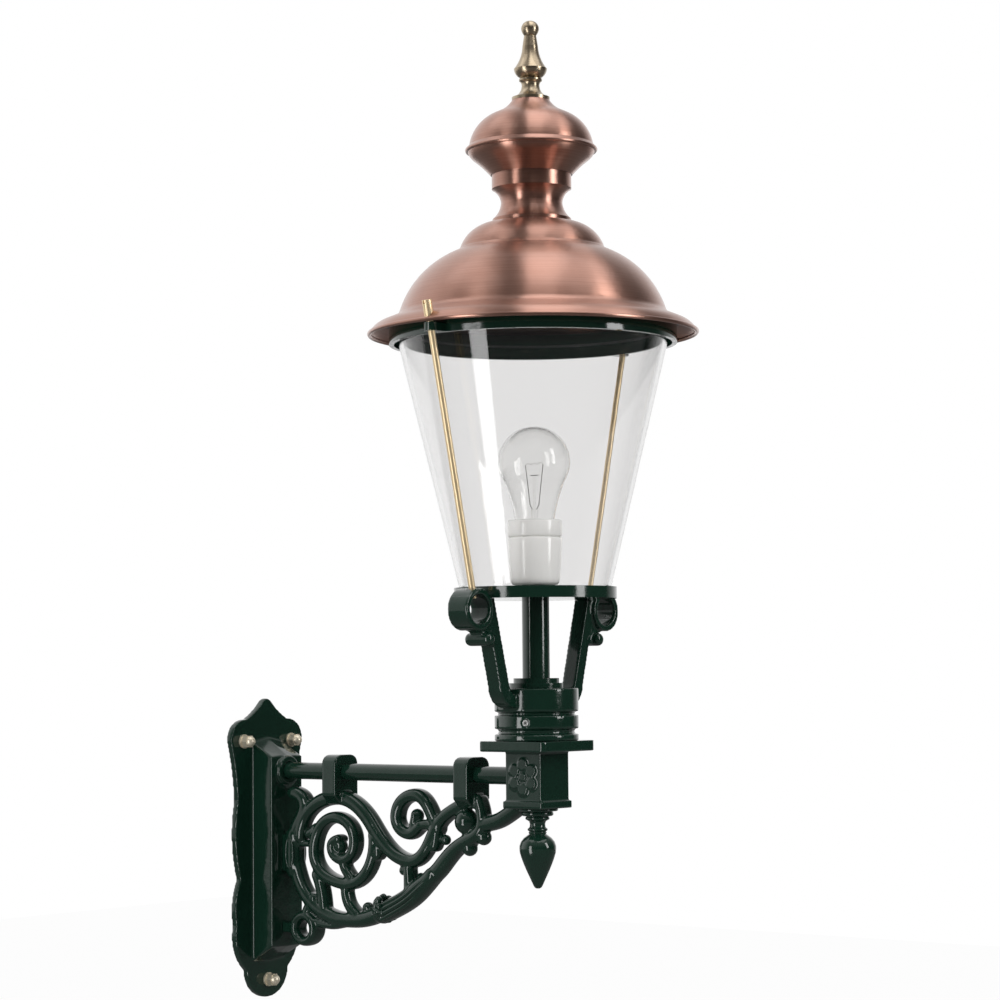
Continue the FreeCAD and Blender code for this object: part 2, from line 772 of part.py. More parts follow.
def stroke(nodes, width, thick, width_end=None):
    """A bar of the casting along its nodes, tapering where a second width is given."""
    points = spine(nodes)
    last = len(points) - 1
    width_end = width if width_end is None else width_end
    left = []
    right = []
    for index, (point, way) in enumerate(points):
        half = left_of(way) * ((width + (width_end - width) * index / last) / 2)
        left.append(point + half)
        right.append(point - half)
    end, end_way = points[-1]
    start, start_way = points[0]
    edges = [arc_edge(*left[index:index + 3]) for index in range(0, last, 2)]
    edges.append(arc_edge(left[-1], end + end_way * (width_end / 2), right[-1]))
    right.reverse()
    edges += [arc_edge(*right[index:index + 3]) for index in range(0, last, 2)]
    edges.append(arc_edge(right[-1], start - start_way * (width / 2), left[0]))
    bar = Part.Face(Part.Wire(edges)).extrude(Vector(thick, 0, 0))
    bar.translate(Vector(-thick / 2, 0, 0))
    rims = [edge for edge in bar.Edges if abs(abs(edge.CenterOfMass.x) - thick / 2) < 1e-6]
    bevel = min(float(scroll_bevel), 0.4 * min(width, width_end), 0.4 * thick)
    return bar.makeChamfer(bevel, rims)


def ball(column, row, radius):
    return Part.makeSphere(float(radius), grid(column, row))


thick = float(scroll_thick)
deep = thick + float(sheath_extra)
band = float(band_width)
volute = float(volute_width)
brace = float(brace_width)
post = float(post_width)
leaf = float(leaf_radius)
solids = [
    # Main band: off the wall side, over under the first strap, down to a U and up to the second
    stroke([(7.0, 38, 88), (24.0, 14.6, 0), (39.4, 29.6, -52), (56.0, 49, 0), (66.2, 31.6, 62),
            (80.5, 14.5, 25)], band, thick),
    # Great volute, ending in a curl round its eye
    stroke([(40.3, 38, -88), (28.2, 63.8, 180), (13.4, 46, 90), (23.2, 26.5, 0), (32.2, 39.5, -90),
            (26.5, 50.4, 180), (21.7, 43, 90), (24.4, 38.8, 10)], volute * 1.06, thick, volute * 0.86),
    ball(24.6, 42.6, volute * 0.72),
    stroke([(27.6, 52.0, -80), (28.6, 62.5, -75)], post, thick),
    # Small volute, its tail touching the band, and its eye on a short stalk
    stroke([(67.5, 30, 122), (58.0, 12, 180), (50.0, 24.6, -90), (55.5, 33.6, 0), (60.4, 29, 35)],
           volute * 1.06, thick, volute * 0.86),
    stroke([(59.4, 29.8, 25), (67, 29, -15)], volute * 0.86, thick),
    stroke([(58.2, 23.5, -100), (57.2, 31.5, -100)], volute * 0.8, thick),
    ball(58.2, 23.5, volute * 0.68),
    # Wall-side band with a curl at its head, running on into the lower brace
    stroke([(4.2, 13, -5), (9.2, 20, -90), (5.0, 35, -105), (3.9, 47.5, -90), (6.2, 62, -68),
            (22.2, 83.6, -12), (31.2, 84.3, 2), (44.6, 78, 25)], float(wall_band_width), thick),
    stroke([(3.9, 38, -92), (3.9, 57, -88)], float(wall_band_width) + 3, thick + 2),
    stroke([(11.5, 36, 20), (14.5, 33, 40)], post, thick),
    stroke([(6.0, 42, 0), (13.2, 42, 0)], post / 2, thick / 2),
    stroke([(14.8, 60.0, -60), (17.5, 78, -85)], post * 1.3, thick),
    stroke([(28.8, 66, -85), (31.4, 80, -60)], post, thick),
    ball(36.6, 77.0, leaf * 1.15),
    # Leafed sheath on the brace, which then runs up round the great ball to the second strap
    stroke([(43.6, 79, 24), (57.9, 65.5, 38), (64.5, 56, 44)], float(sheath_width), deep, brace),
    stroke([(56, 67, 38), (69, 50, 47), (79.5, 36.3, 22), (86.2, 26, 85), (84.8, 14, 113)],
           brace, thick, volute),
    stroke([(43.2, 71.0, -78), (44.6, 82.6, -72)], post * 0.7, deep + 4),
    stroke([(55.0, 51.5, -85), (55.3, 64, -90)], post, thick),
    ball(52.4, 54.6, leaf),
    ball(59.6, 58.0, leaf * 0.9),
    stroke([(39.8, 36, -70), (41.6, 46, -100)], post * 1.2, thick),
    stroke([(67.2, 31, -100), (66.0, 40, -120)], post * 1.2, thick),
    ball(70.2, 36.5, leaf),
    ball(79.2, 26.0, ball_radius),
    ball(80.2, 40.5, bead_radius),
    ball(86.0, 34.2, bead_radius),
    # Bar to the head block
    stroke([(86.5, 27, 8), (94.4, 23.2, 27), (104, 13.5, 33)], band * 1.05, thick),
]
heel_centre = grid(9.4, 90.8)
heel = Part.makeCylinder(float(heel_radius), thick, heel_centre - Vector(thick / 2, 0, 0), Vector(1, 0, 0))
heel_rims = [edge for edge in heel.Edges if edge.Length > float(heel_radius) * 4]
heel = heel.makeChamfer(float(scroll_bevel), heel_rims)
solids.append(heel)
solids.append(stroke([(10.0, 82, 75), (13.0, 73.5, 70)], post, thick))
pad_top = float(arm_z) - float(pad_drop) + float(pad_height) / 2
pad_deep = grid(3.9, 0).y
solids.append(Part.makeBox(thick, -float(box_face) - pad_deep, float(pad_height),
                           Vector(-thick / 2, pad_deep, pad_top - float(pad_height))))
heel_side = heel_centre.y + float(heel_bore) * 1.2
solids.append(Part.makeBox(thick, -float(box_face) - heel_side, post,
                           Vector(-thick / 2, heel_side, heel_centre.z - post / 2)))
strap = float(strap_half)
for column in (24.2, 80.9):
    y = grid(column, 0).y + float(strap_long) / 2
    axis = Vector(0, y, float(arm_z))
    foot = -float(strap_foot)
    rise = Vector(0, 0, foot - (strap - thick / 2))
    corner = float(strap_corner)
    flat = strap - corner
    knee = flat + corner * math.sqrt(0.5)
    edges = [arc_edge(axis + Vector(-strap, 0, flat), axis + Vector(-knee, 0, knee),
                      axis + Vector(-flat, 0, strap)),
             Part.makePolygon([axis + Vector(-flat, 0, strap), axis + Vector(flat, 0, strap)]),
             arc_edge(axis + Vector(flat, 0, strap), axis + Vector(knee, 0, knee),
                      axis + Vector(strap, 0, flat)),
             Part.makePolygon([axis + Vector(strap, 0, flat), axis + Vector(strap, 0, foot),
                               axis + Vector(thick / 2, 0, 0) + rise, axis + Vector(-thick / 2, 0, 0) + rise,
                               axis + Vector(-strap, 0, foot), axis + Vector(-strap, 0, flat)])]
    solids.append(Part.Face(Part.Wire(edges)).extrude(Vector(0, -float(strap_long), 0)))
casting = solids[0].multiFuse(solids[1:])
heel_start = heel_centre - Vector(2 * thick, 0, 0)
outwards = Vector(0, -1, 0)
bores = [Part.makeCylinder(float(tube_radius), float(reach), Vector(0, 0, float(arm_z)), outwards),
         Part.makeCylinder(float(heel_bore), 4 * thick, heel_start, Vector(1, 0, 0))]
for offset in (screw_pitch / 2.0, -screw_pitch / 2.0):
    screw_foot = Vector(0, -float(box_face), float(arm_z - pad_drop + offset))
    bores.append(Part.makeCylinder(float(screw_radius), float(screw_grip), screw_foot, outwards))
# The last bar stops square against the head block's lip
block_side = Part.makeBox(4 * strap, float(lip_half) * 2, 4 * strap,
                          Vector(-2 * strap, -float(reach) - float(lip_half), float(arm_z) - 3 * strap))
scroll = doc.addObject("Part::Feature", "scroll_bracket")
scroll.Shape = casting.cut(bores + [block_side]).removeSplitter()
scroll.Placement = Placement()
keep(scroll, "scroll_bracket")

# Head block: cap plate above, lip below, spigot for the fork, rosettes on both sides
block = new_body("head_block", 0.0, -reach, arm_z)
core = new_sketch(block, "XY_Plane", -block_low)
box_outline(core, -block_half, block_half, -block_half, block_half)
pad(block, core, block_low + block_high)
lip = new_sketch(block, "XY_Plane", -block_low - lip_thick)
box_outline(lip, -lip_half, lip_half, -lip_half, lip_half)
pad(block, lip, lip_thick)
cap = new_sketch(block, "XY_Plane", block_high)
inset = cap_half - cap_round
corner_sag = cap_round * (1.0 - math.sqrt(0.5))
outline(cap, [(cap_half, -inset), (cap_half, inset, corner_sag), (inset, cap_half),
              (-inset, cap_half, corner_sag), (-cap_half, inset), (-cap_half, -inset, corner_sag),
              (-inset, -cap_half), (inset, -cap_half, corner_sag)])
pad(block, cap, cap_thick)
spigot = new_sketch(block, "XY_Plane", block_high + cap_thick)
circle(spigot, 0.0, 0.0, spigot_radius)
pad(block, spigot, spigot_high)
petals = new_sketch(block, "YZ_Plane")
for step in range(6):
    angle = math.radians(60.0 * step + 30.0)
    circle(petals, rosette_radius * math.cos(angle), rosette_radius * math.sin(angle), petal_radius)
circle(petals, 0.0, 0.0, rosette_eye)
pad(block, petals, (block_half + petal_high) * 2.0, True)
stem_seat = new_sketch(block, "XY_Plane", block_high + cap_thick + spigot_high)
circle(stem_seat, 0.0, 0.0, stem_radius)
pocket(block, stem_seat, stem_socket, reverse=False)
wire_way = new_sketch(block, "XY_Plane")
circle(wire_way, 0.0, 0.0, tube_bore)
pocket(block, wire_way, block_high + cap_thick + spigot_high)
tube_seat = new_sketch(block, "XZ_Plane", -block_half)
circle(tube_seat, 0.0, 0.0, tube_radius)
pocket(block, tube_seat, tube_socket)
tube_way = new_sketch(block, "XZ_Plane", -block_half)
circle(tube_way, 0.0, 0.0, tube_bore)
pocket(block, tube_way, block_half)
drop_seat = new_sketch(block, "XY_Plane", -block_low - lip_thick)
circle(drop_seat, 0.0, 0.0, drop_spigot)
pocket(block, drop_seat, drop_spigot_long)
keep(block, "head_block")

ring_low = -drop_ring_low
cove_low = -drop_step_high * 2.0
turned("drop_finial", lip_z, [
    (0.0, -drop_length), (drop_tip, drop_tip / 3.0 - drop_length, drop_tip_sag),
    (drop_bud, -drop_bud_low, drop_bud_sag), (drop_neck, ring_low - drop_ring_high),
    (drop_ring, ring_low - drop_ring_high * 0.3), (drop_ring, ring_low + drop_ring_high * 0.7),
    (drop_neck, ring_low + drop_ring_high * 1.6, -drop_cove_sag), (drop_cove, cove_low - drop_ring_high),
    (drop_step, cove_low), (drop_step, -drop_step_high), (drop_flange, -drop_step_high), (drop_flange, 0.0),
    (drop_spigot, 0.0), (drop_spigot, drop_spigot_long), (0.0, drop_spigot_long)])

# Fork casting: grooved collar on the spigot, arms to the dish, ring eyes and rolls
fork = new_body("fork_blank", 0.0, -reach, cap_z)
collar_bore = spigot_radius + slide_fit
groove_radius = collar_radius - groove_deep
low_top = groove_low + groove_low_wide
high_top = groove_high + groove_high_wide
turn(fork, [
    (collar_bore, 0.0), (collar_radius, 0.0), (collar_radius, groove_low), (groove_radius, groove_low),
    (groove_radius, low_top), (collar_radius, low_top), (collar_radius, groove_high),
    (groove_radius, groove_high), (groove_radius, high_top), (collar_radius, high_top),
    (collar_radius, collar_high),
    (stem_radius + slide_fit, collar_high), (stem_radius + slide_fit, collar_high - collar_web),
    (collar_bore, collar_high - collar_web)])
root = collar_radius - groove_deep
arm = new_sketch(fork, "XZ_Plane")
outline(arm, [(root, arm_root_high), (collar_radius + arm_knee, arm_root_high, arm_knee_sag),
              (arm_foot + arm_wide, arm_foot_high), (arm_top + arm_wide, fork_high), (arm_top, fork_high),
              (arm_foot, arm_foot_high, -arm_root_sag), (collar_radius, arm_root_top), (root, arm_root_top)])
arm_pad = pad(fork, arm, arm_deep, True)
eye = new_sketch(fork, "XZ_Plane")
circle(eye, eye_reach, eye_high, eye_radius)
eye_pad = pad(fork, eye, eye_deep, True)
roll = new_sketch(fork, "XZ_Plane")
circle(roll, roll_reach, roll_high, roll_radius)
roll_pad = pad(fork, roll, roll_long, True)
web = new_sketch(fork, "XZ_Plane")
web_half = roll_radius * 0.7
box_outline(web, roll_reach - roll_web, roll_reach, roll_high - web_half, roll_high + web_half)
web_pad = pad(fork, web, arm_deep, True)
eye_hole = new_sketch(fork, "XZ_Plane")
circle(eye_hole, eye_reach, eye_high, eye_bore)
eye_pocket = pocket(fork, eye_hole, eye_deep, True)
mirror = fork.newObject("PartDesign::Mirrored", "mirror")
mirror.Originals = [arm_pad, eye_pad, roll_pad, web_pad, eye_pocket]
mirror.MirrorPlane = ([item for item in fork.Origin.OriginFeatures if item.Role == "YZ_Plane"][0], [""])
fork.Tip = mirror
doc.recompute()
roll_ends = ["Edge%d" % (index + 1) for index, edge in enumerate(mirror.Shape.Edges)
             if abs(abs(edge.CenterOfMass.y) - float(roll_long) / 2) < 0.01]
rounded = fork.newObject("PartDesign::Fillet", "roll_rounds")
rounded.Base = (mirror, roll_ends)
bind(rounded, "Radius", roll_round)
fork.Tip = rounded

# Line of the tie rods: from the eyes out to the lugs of the upper ring
lug_middle = ring_z + lug_thick / 2.0
rod_slope = (rod_head - rod_foot) / (lug_middle - eye_z)
rod_stretch = (rod_slope * rod_slope + 1.0).root()
rod_start = eye_z + eye_bore - rod_tip


def rod_line(name, side, low, high, radius):
    """A cylinder on a tie rod's line between two heights; side is +1 or -1 along X."""
    tilt = Rotation(Vector(0, side, 0), math.degrees(math.atan(rod_slope.value)))
    x = (rod_slope * (low - eye_z) + rod_foot) * float(side)
    item = cylinder(name, x, -reach, low, radius, (high - low) * rod_stretch, tilt)
    item.setExpression("Placement.Rotation.Angle", "atan(%s)" % rod_slope.text)
    return item


def radial(name, radius, inner, outer, angle, z):
    """A cylinder that points outwards from the lantern's axis at an angle from +X."""
    way = math.radians(float(angle))
    item = doc.addObject("Part::Cylinder", name)
    item.Placement = Placement(Vector(), Rotation(Vector(0, 0, 1), Vector(math.cos(way), math.sin(way), 0)))
    place(item, inner * math.cos(way), inner * math.sin(way) - reach, z)
    bind(item, "Radius", radius)
    bind(item, "Height", outer - inner)
    return item


screw_turns = [float(set_screw_turn) + 120.0 * step for step in range(3)]
screw_z = cap_z + set_screw_high
screw_out = collar_radius - set_screw_sink
fork_tools = [radial("set_screw_hole", set_screw_radius, spigot_radius, collar_radius + 1.0, angle, screw_z)
              for angle in screw_turns]
eye_top = eye_z + eye_radius * 1.2
fork_tools += [rod_line("eye_thread", side, rod_start, eye_top, rod_radius) for side in (1, -1)]
keep(cut("lantern_fork", fork, join("fork_holes", fork_tools)), "lantern_fork")
set_screws = []
for angle in screw_turns:
    screw = radial("set_screw_body", set_screw_radius, spigot_radius, screw_out, angle, screw_z)
    key_way = screw_out - set_screw_radius
    socket = radial("set_screw_socket", set_screw_radius / 2.0, key_way, screw_out, angle, screw_z)
    set_screws.append(cut("set_screw", screw, socket))
group("collar_set_screws", set_screws)

# Stem tube with its clamp flange, the dish on the fork, and the nut that holds it down
stem_low = cap_z + spigot_high - stem_socket
turned("stem_tube", stem_low, [
    (stem_bore, 0.0), (stem_radius, 0.0), (stem_radius, holder_z - stem_low),
    (stem_bore, holder_z - stem_low)])
turned("stem_flange", collar_z, [
    (stem_radius, 0.0), (flange_radius, 0.0), (flange_radius, flange_low), (flange_step, flange_low),
    (flange_step, flange_low + flange_high), (stem_radius, flange_low + flange_high)])
turned("stem_plug", holder_z - plug_long, [
    (nipple_radius, 0.0), (stem_bore, 0.0), (stem_bore, plug_long), (nipple_radius, plug_long)])
turned("lower_dish", dish_z, [
    (stem_radius, 0.0), (dish_radius, 0.0), (dish_radius, dish_high), (dish_radius - dish_wall, dish_high),
    (dish_radius - dish_wall, dish_floor), (stem_radius, dish_floor)])
dish_nut = new_body("dish_nut", 0.0, -reach, floor_z)
dish_nut_section = new_sketch(dish_nut, "XY_Plane")
hexagon(dish_nut_section, dish_nut_flats)
circle(dish_nut_section, 0.0, 0.0, stem_radius)
pad(dish_nut, dish_nut_section, dish_nut_high)
keep(dish_nut, "dish_nut")

# Glass cone between two gaskets
turned("lower_gasket", floor_z, [
    (glass_foot - glass_thick, 0.0), (glass_foot, 0.0), (glass_foot, gasket_thick),
    (glass_foot - glass_thick, gasket_thick)])
turned("glass_shade", glass_z, [
    (glass_foot - glass_thick, 0.0), (glass_foot, 0.0), (glass_head, glass_high),
    (glass_head - glass_thick, glass_high)])
turned("upper_gasket", glass_z + glass_high, [
    (glass_head - glass_thick, 0.0), (glass_head, 0.0), (glass_head, gasket_thick),
    (glass_head - glass_thick, gasket_thick)])

# Hood sheet: the flare is a plain cone, so the ring under it can follow its slope
flare_slope = (flare_in_rise + flare_out_drop) / (flare_out - flare_in)
flare_stretch = (flare_slope * flare_slope + 1.0).root()
normal_r = flare_slope / flare_stretch
normal_z = as_size(1.0) / flare_stretch


def under_flare(radius):
    """Height of the flare's underside at a radius, from the hood's own base."""
    return flare_in_rise - (radius - flare_in) * flare_slope - sheet_thick * flare_stretch


# Upper ring: skirt outside the glass, ledge over it, two lugs for the rods
ring_bore = ring_radius - ring_wall
ring_shift = hood_z - ring_z
ledge_low = ledge_z - ring_z
ring = new_body("ring_blank", 0.0, -reach, ring_z)
turn(ring, [
    (ring_bore, 0.0), (ring_radius, 0.0), (ring_radius, under_flare(ring_radius) + ring_shift),
    (ring_bore, under_flare(ring_bore) + ring_shift), (ring_bore, ledge_low + ring_ledge_thick),
    (ring_ledge, ledge_low + ring_ledge_thick), (ring_ledge, ledge_low), (ring_bore, ledge_low)])
lug = new_sketch(ring, "XY_Plane")
lug_root = ring_radius - ring_wall / 2.0
outline(lug, [(lug_root, -lug_half), (rod_head, -lug_half, lug_nose), (rod_head, lug_half),
              (lug_root, lug_half)])
lug_pad = pad(ring, lug, lug_thick)
ring_mirror = ring.newObject("PartDesign::Mirrored", "ring_mirror")
ring_mirror.Originals = [lug_pad]
ring_mirror.MirrorPlane = ([item for item in ring.Origin.OriginFeatures if item.Role == "YZ_Plane"][0], [""])
ring.Tip = ring_mirror
rod_end = hood_z + rod_top
ring_holes = [rod_line("lug_hole", side, ring_z - 2.0, hood_z, rod_radius + rod_clear) for side in (1, -1)]
keep(cut("upper_ring", ring, join("ring_holes", ring_holes)), "upper_ring")


def hood_profile(shift):
    """Outside of the hood, or its inside where the sheet's thickness is the shift."""
    return [(0.0, -hood_rim_drop), (hood_rim - shift, -hood_rim_drop, rim_sag),
            (flare_out - shift * normal_r, -flare_out_drop - shift * normal_z),
            (flare_in - shift * normal_r, flare_in_rise - shift * normal_z, -flare_sag),
            (bell_foot - shift, bell_foot_rise - shift * 0.3, bell_sag),
            (crease - shift * 0.7, crease_rise - shift),
            (crown_foot - shift * 0.9, crown_foot_rise - shift * 0.7, crown_sag),
            (crown - shift * 0.3, crown_rise - shift), (0.0, crown_rise - shift)]


hood_form = new_body("hood_form", 0.0, -reach, hood_z)
turn(hood_form, hood_profile(as_size(0.0)))
hood_core = new_body("hood_core", 0.0, -reach, hood_z)
turn(hood_core, hood_profile(sheet_thick))
hood_roll = doc.addObject("Part::Torus", "hood_roll")
place(hood_roll, 0.0, -reach, hood_z - hood_rim_drop)
bind(hood_roll, "Radius1", hood_rim - sheet_thick / 2.0)
bind(hood_roll, "Radius2", hood_bead)
rod_hole = rod_radius + rod_clear
hood_holes = [rod_line("hood_hole", side, hood_z - hood_rim_drop, rod_end, rod_hole) for side in (1, -1)]
crown_low = neck_z - sheet_thick * 2.0
hood_holes.append(cylinder("crown_hole", 0.0, -reach, crown_low, hood_rod_radius, sheet_thick * 4.0))
hood_shell = cut("hood_shell", hood_form, hood_core)
hood_sheet = join("hood_sheet", [hood_shell, hood_roll])
keep(cut("hood_dome", hood_sheet, join("hood_holes", hood_holes)), "hood_dome")

# Tie rods, screwed into the eyes below and held by slotted nuts on the hood
for side, label in ((-1, "tie_rod_left"), (1, "tie_rod_right")):
    keep(rod_line(label, side, rod_start, rod_end, rod_radius), label)
slotted_nuts = []
for side in (1, -1):
    nut_low = hood_z - hood_rim_drop + rod_nut_radius * rod_slope * 1.5
    nut_high = hood_z - flare_out_drop + rod_nut_high
    blank = rod_line("rod_nut_blank", side, nut_low, nut_high, rod_nut_radius)
    bore = rod_line("rod_nut_bore", side, nut_low, rod_end, rod_radius)
    slot = doc.addObject("Part::Box", "rod_nut_slot")
    nut_x = (rod_slope * (nut_high - eye_z) + rod_foot) * float(side)
    place(slot, nut_x - rod_nut_radius * 1.5, -reach - rod_nut_slot / 2.0, nut_high - rod_nut_slot_deep)
    bind(slot, "Length", rod_nut_radius * 3.0)
    bind(slot, "Width", rod_nut_slot)
    bind(slot, "Height", rod_nut_slot_deep * 2.0)
    slotted_nuts.append(cut("rod_nut", blank, join("rod_nut_cuts", [bore, slot, hood_form, hood_roll])))
group("rod_slotted_nuts", slotted_nuts)

# Lamp holder: porcelain cup and collar, brass sleeve and contact, nipple into the stem
turned("holder_cup", holder_z, [
    (nipple_radius, 0.0), (holder_foot, 0.0, holder_foot_sag), (holder_radius, holder_floor * 0.75),
    (holder_radius, holder_high),
    (holder_radius - holder_wall, holder_high), (holder_radius - holder_wall, holder_floor),
    (nipple_radius, holder_floor)])
turned("holder_collar", holder_z + holder_high, [
    (holder_mouth, 0.0), (holder_radius, 0.0), (holder_radius, holder_collar - holder_edge),
    (holder_radius - holder_edge, holder_collar), (holder_mouth, holder_collar)])
turned("holder_nipple", holder_z - plug_long, [
    (nipple_bore, 0.0), (nipple_radius, 0.0), (nipple_radius, nipple_long), (nipple_bore, nipple_long)])
turned("holder_sleeve", holder_z + holder_floor, [
    (sleeve_radius - sleeve_wall, 0.0), (sleeve_radius, 0.0), (sleeve_radius, sleeve_long),
    (sleeve_radius - sleeve_wall, sleeve_long)])
turned("holder_contact", holder_z + holder_floor, [
    (0.0, 0.0), (nipple_radius + contact_rim, 0.0), (nipple_radius + contact_rim, contact_high / 2.0),
    (contact_radius, contact_high), (0.0, contact_high)])

# Lamp: screw cap, glass mount with its post, two leads, filament and clear envelope
quarter = 1.0 - math.sqrt(0.5)
cheek = lamp_radius * 0.85
cheek_drop = lamp_radius * math.sqrt(1.0 - 0.85 ** 2)
cheek_sag = lamp_radius * (1.0 - math.cos(0.5 * math.acos(0.85)))
lamp_centre = lamp_long - lamp_radius + lamp_pole
turned("lamp_cap", lamp_z, [
    (0.0, 0.0), (lamp_tip, 0.0), (lamp_tip * 1.8, lamp_tip_high), (lamp_cap_radius, lamp_tip_high * 2.0),
    (lamp_cap_radius, lamp_cap_long), (0.0, lamp_cap_long)])
inner_ball = lamp_radius - lamp_glass
lamp_top = lamp_long - lamp_glass
turned("lamp_envelope", lamp_z, [
    (lamp_cap_radius, lamp_cap_long), (lamp_neck, lamp_neck_high, -lamp_neck_sag),
    (cheek, lamp_centre - cheek_drop, cheek_sag),
    (lamp_radius, lamp_centre, (lamp_radius - lamp_pole) * quarter),
    (lamp_pole, lamp_long), (0.0, lamp_long), (0.0, lamp_top),
    (lamp_pole, lamp_top, (inner_ball - lamp_pole) * -quarter), (inner_ball, lamp_centre, -cheek_sag),
    (cheek - lamp_glass, lamp_centre - cheek_drop, lamp_neck_sag), (lamp_neck - lamp_glass, lamp_neck_high),
    (lamp_cap_radius - lamp_glass, lamp_cap_long)])
mount_z = lamp_z + lamp_cap_long
turned("lamp_mount", mount_z, [
    (0.0, 0.0), (mount_foot, 0.0), (mount_stalk, mount_high * 0.6), (mount_stalk, mount_high),
    (post_radius, mount_high), (post_radius, mount_post), (0.0, mount_post)])


def wire(points, radius):
    """Round wire through points, with a ball at each joint."""
    shapes = []
    for start, end in zip(points, points[1:]):
        shapes.append(Part.makeCylinder(radius, (end - start).Length, start, end - start))
    shapes += [Part.makeSphere(radius, point) for point in points[1:-1]]
    return shapes[0].multiFuse(shapes[1:]) if len(shapes) > 1 else shapes[0]


on_axis = Vector(0, -float(reach), float(mount_z))
stalk_top = float(mount_high)
leads = []
for side in (1, -1):
    leads.append(wire([on_axis + Vector(0, side * float(lead_start), stalk_top + float(lead_lift)),
                       on_axis + Vector(0, side * float(lead_spread), float(lead_high))], float(lead_radius)))
lead_wires = doc.addObject("Part::Feature", "lamp_leads")
lead_wires.Shape = Part.makeCompound(leads)
lead_wires.Placement = Placement()
keep(lead_wires, "lamp_leads")
turns = 6
wire_low = float(lead_high) + float(lead_radius)
path = [on_axis + Vector(0, float(lead_spread) * (1 - 2.0 * step / turns),
                         wire_low + float(filament_rise) * (step % 2))
        for step in range(turns + 1)]
filament = doc.addObject("Part::Feature", "lamp_filament")
filament.Shape = wire(path, float(filament_radius))
filament.Placement = Placement()
keep(filament, "lamp_filament")

# Hood neck, onion and finial, drawn together by a rod through the crown
turned("hood_neck", neck_z, [
    (neck_foot - sheet_thick, 0.0), (neck_foot, 0.0), (neck_foot, neck_foot_high, -neck_foot_sag),
    (neck_waist, neck_waist_high, -neck_band_sag), (neck_band, neck_band_low), (neck_band, neck_high),
    (neck_band - sheet_thick, neck_high), (neck_band - sheet_thick, neck_band_low, neck_band_sag),
    (neck_waist - sheet_thick, neck_waist_high, neck_foot_sag), (neck_foot - sheet_thick, neck_foot_high)])
turned("onion_lower", onion_z, [
    (hood_rod_radius, 0.0), (onion_foot, 0.0, -onion_hip_sag), (onion_hip, onion_hip_high, onion_hip_sag),
    (onion_rim, onion_low_high), (onion_rim - sheet_thick, onion_low_high, -onion_hip_sag),
    (onion_hip - sheet_thick * 1.2, onion_hip_high + sheet_thick * 0.4, onion_hip_sag),
    (onion_foot - sheet_thick * 0.3, sheet_thick), (hood_rod_radius, sheet_thick)])
turned("onion_upper", upper_z, [
    (onion_rim - sheet_thick, 0.0), (onion_bead, 0.0, onion_bead_sag), (onion_bead, onion_bead_high),
    (onion_wall, onion_wall_high, onion_sag), (onion_crease, onion_crease_high),
    (onion_lip, onion_lip_high, -onion_lip_sag), (onion_top, onion_high - sheet_thick / 3.0),
    (onion_top, onion_high), (hood_rod_radius, onion_high), (hood_rod_radius, onion_high - sheet_thick),
    (onion_top - sheet_thick, onion_high - sheet_thick, onion_lip_sag),
    (onion_lip - sheet_thick * 0.6, onion_lip_high - sheet_thick),
    (onion_crease - sheet_thick * 0.6, onion_crease_high - sheet_thick, -onion_sag),
    (onion_wall - sheet_thick, onion_wall_high), (onion_rim - sheet_thick, onion_bead_high)])
ball_high = finial_high - finial_ball + finial_pole
turned("top_finial", finial_z, [
    (hood_rod_radius, 0.0), (onion_top, 0.0), (onion_top, finial_foot_high, -finial_foot_sag),
    (finial_waist, finial_waist_high, -finial_waist_sag), (finial_ring, finial_ring_high),
    (finial_ring, finial_ring_high + finial_ring_thick),
    (finial_ring - finial_step, finial_ring_high + finial_ring_thick + finial_step * 0.7, finial_step),
    (finial_belly, finial_belly_high, -finial_belly_sag), (finial_spire, finial_spire_high),
    (finial_neck, finial_neck_high),
    (finial_neck - finial_neck_step, finial_neck_high + finial_neck_step / 3.0, finial_neck_step),
    (finial_ball, ball_high, (finial_ball - finial_pole) * quarter), (finial_pole, finial_high),
    (0.0, finial_high), (0.0, finial_socket), (hood_rod_radius, finial_socket)])
washer_z = neck_z - sheet_thick - hood_washer_thick
hood_nut_z = washer_z - hood_nut_high
turned("hood_washer", washer_z, [
    (hood_rod_radius, 0.0), (hood_washer_radius, 0.0), (hood_washer_radius, hood_washer_thick),
    (hood_rod_radius, hood_washer_thick)])
hood_nut = new_body("hood_nut", 0.0, -reach, hood_nut_z)
hood_nut_section = new_sketch(hood_nut, "XY_Plane")
hexagon(hood_nut_section, hood_nut_flats)
circle(hood_nut_section, 0.0, 0.0, hood_rod_radius)
pad(hood_nut, hood_nut_section, hood_nut_high)
keep(hood_nut, "hood_nut")
hood_rod_low = hood_nut_z - hood_rod_stub
hood_rod_long = finial_z + finial_socket - hood_rod_low
hood_rod = cylinder("hood_rod", 0.0, -reach, hood_rod_low, hood_rod_radius, hood_rod_long)
keep(hood_rod, "hood_rod")

doc.recompute()
failed = [item.Label for item in doc.Objects if "Invalid" in item.State or "Error" in item.State]
failed += [item.Label for item in sub_parts if item.Shape.isNull() or not item.Shape.isValid()]
if failed:
    raise ValueError("failed: " + ", ".join(failed))
os.makedirs("parts", exist_ok=True)
for item in sub_parts:
    item.Shape.exportStep("parts/%s.step" % item.Label)
    print(item.Label, len(item.Shape.Solids), round(item.Shape.Volume))
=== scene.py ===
import math

import bmesh
import bpy
from mathutils import Matrix, Vector


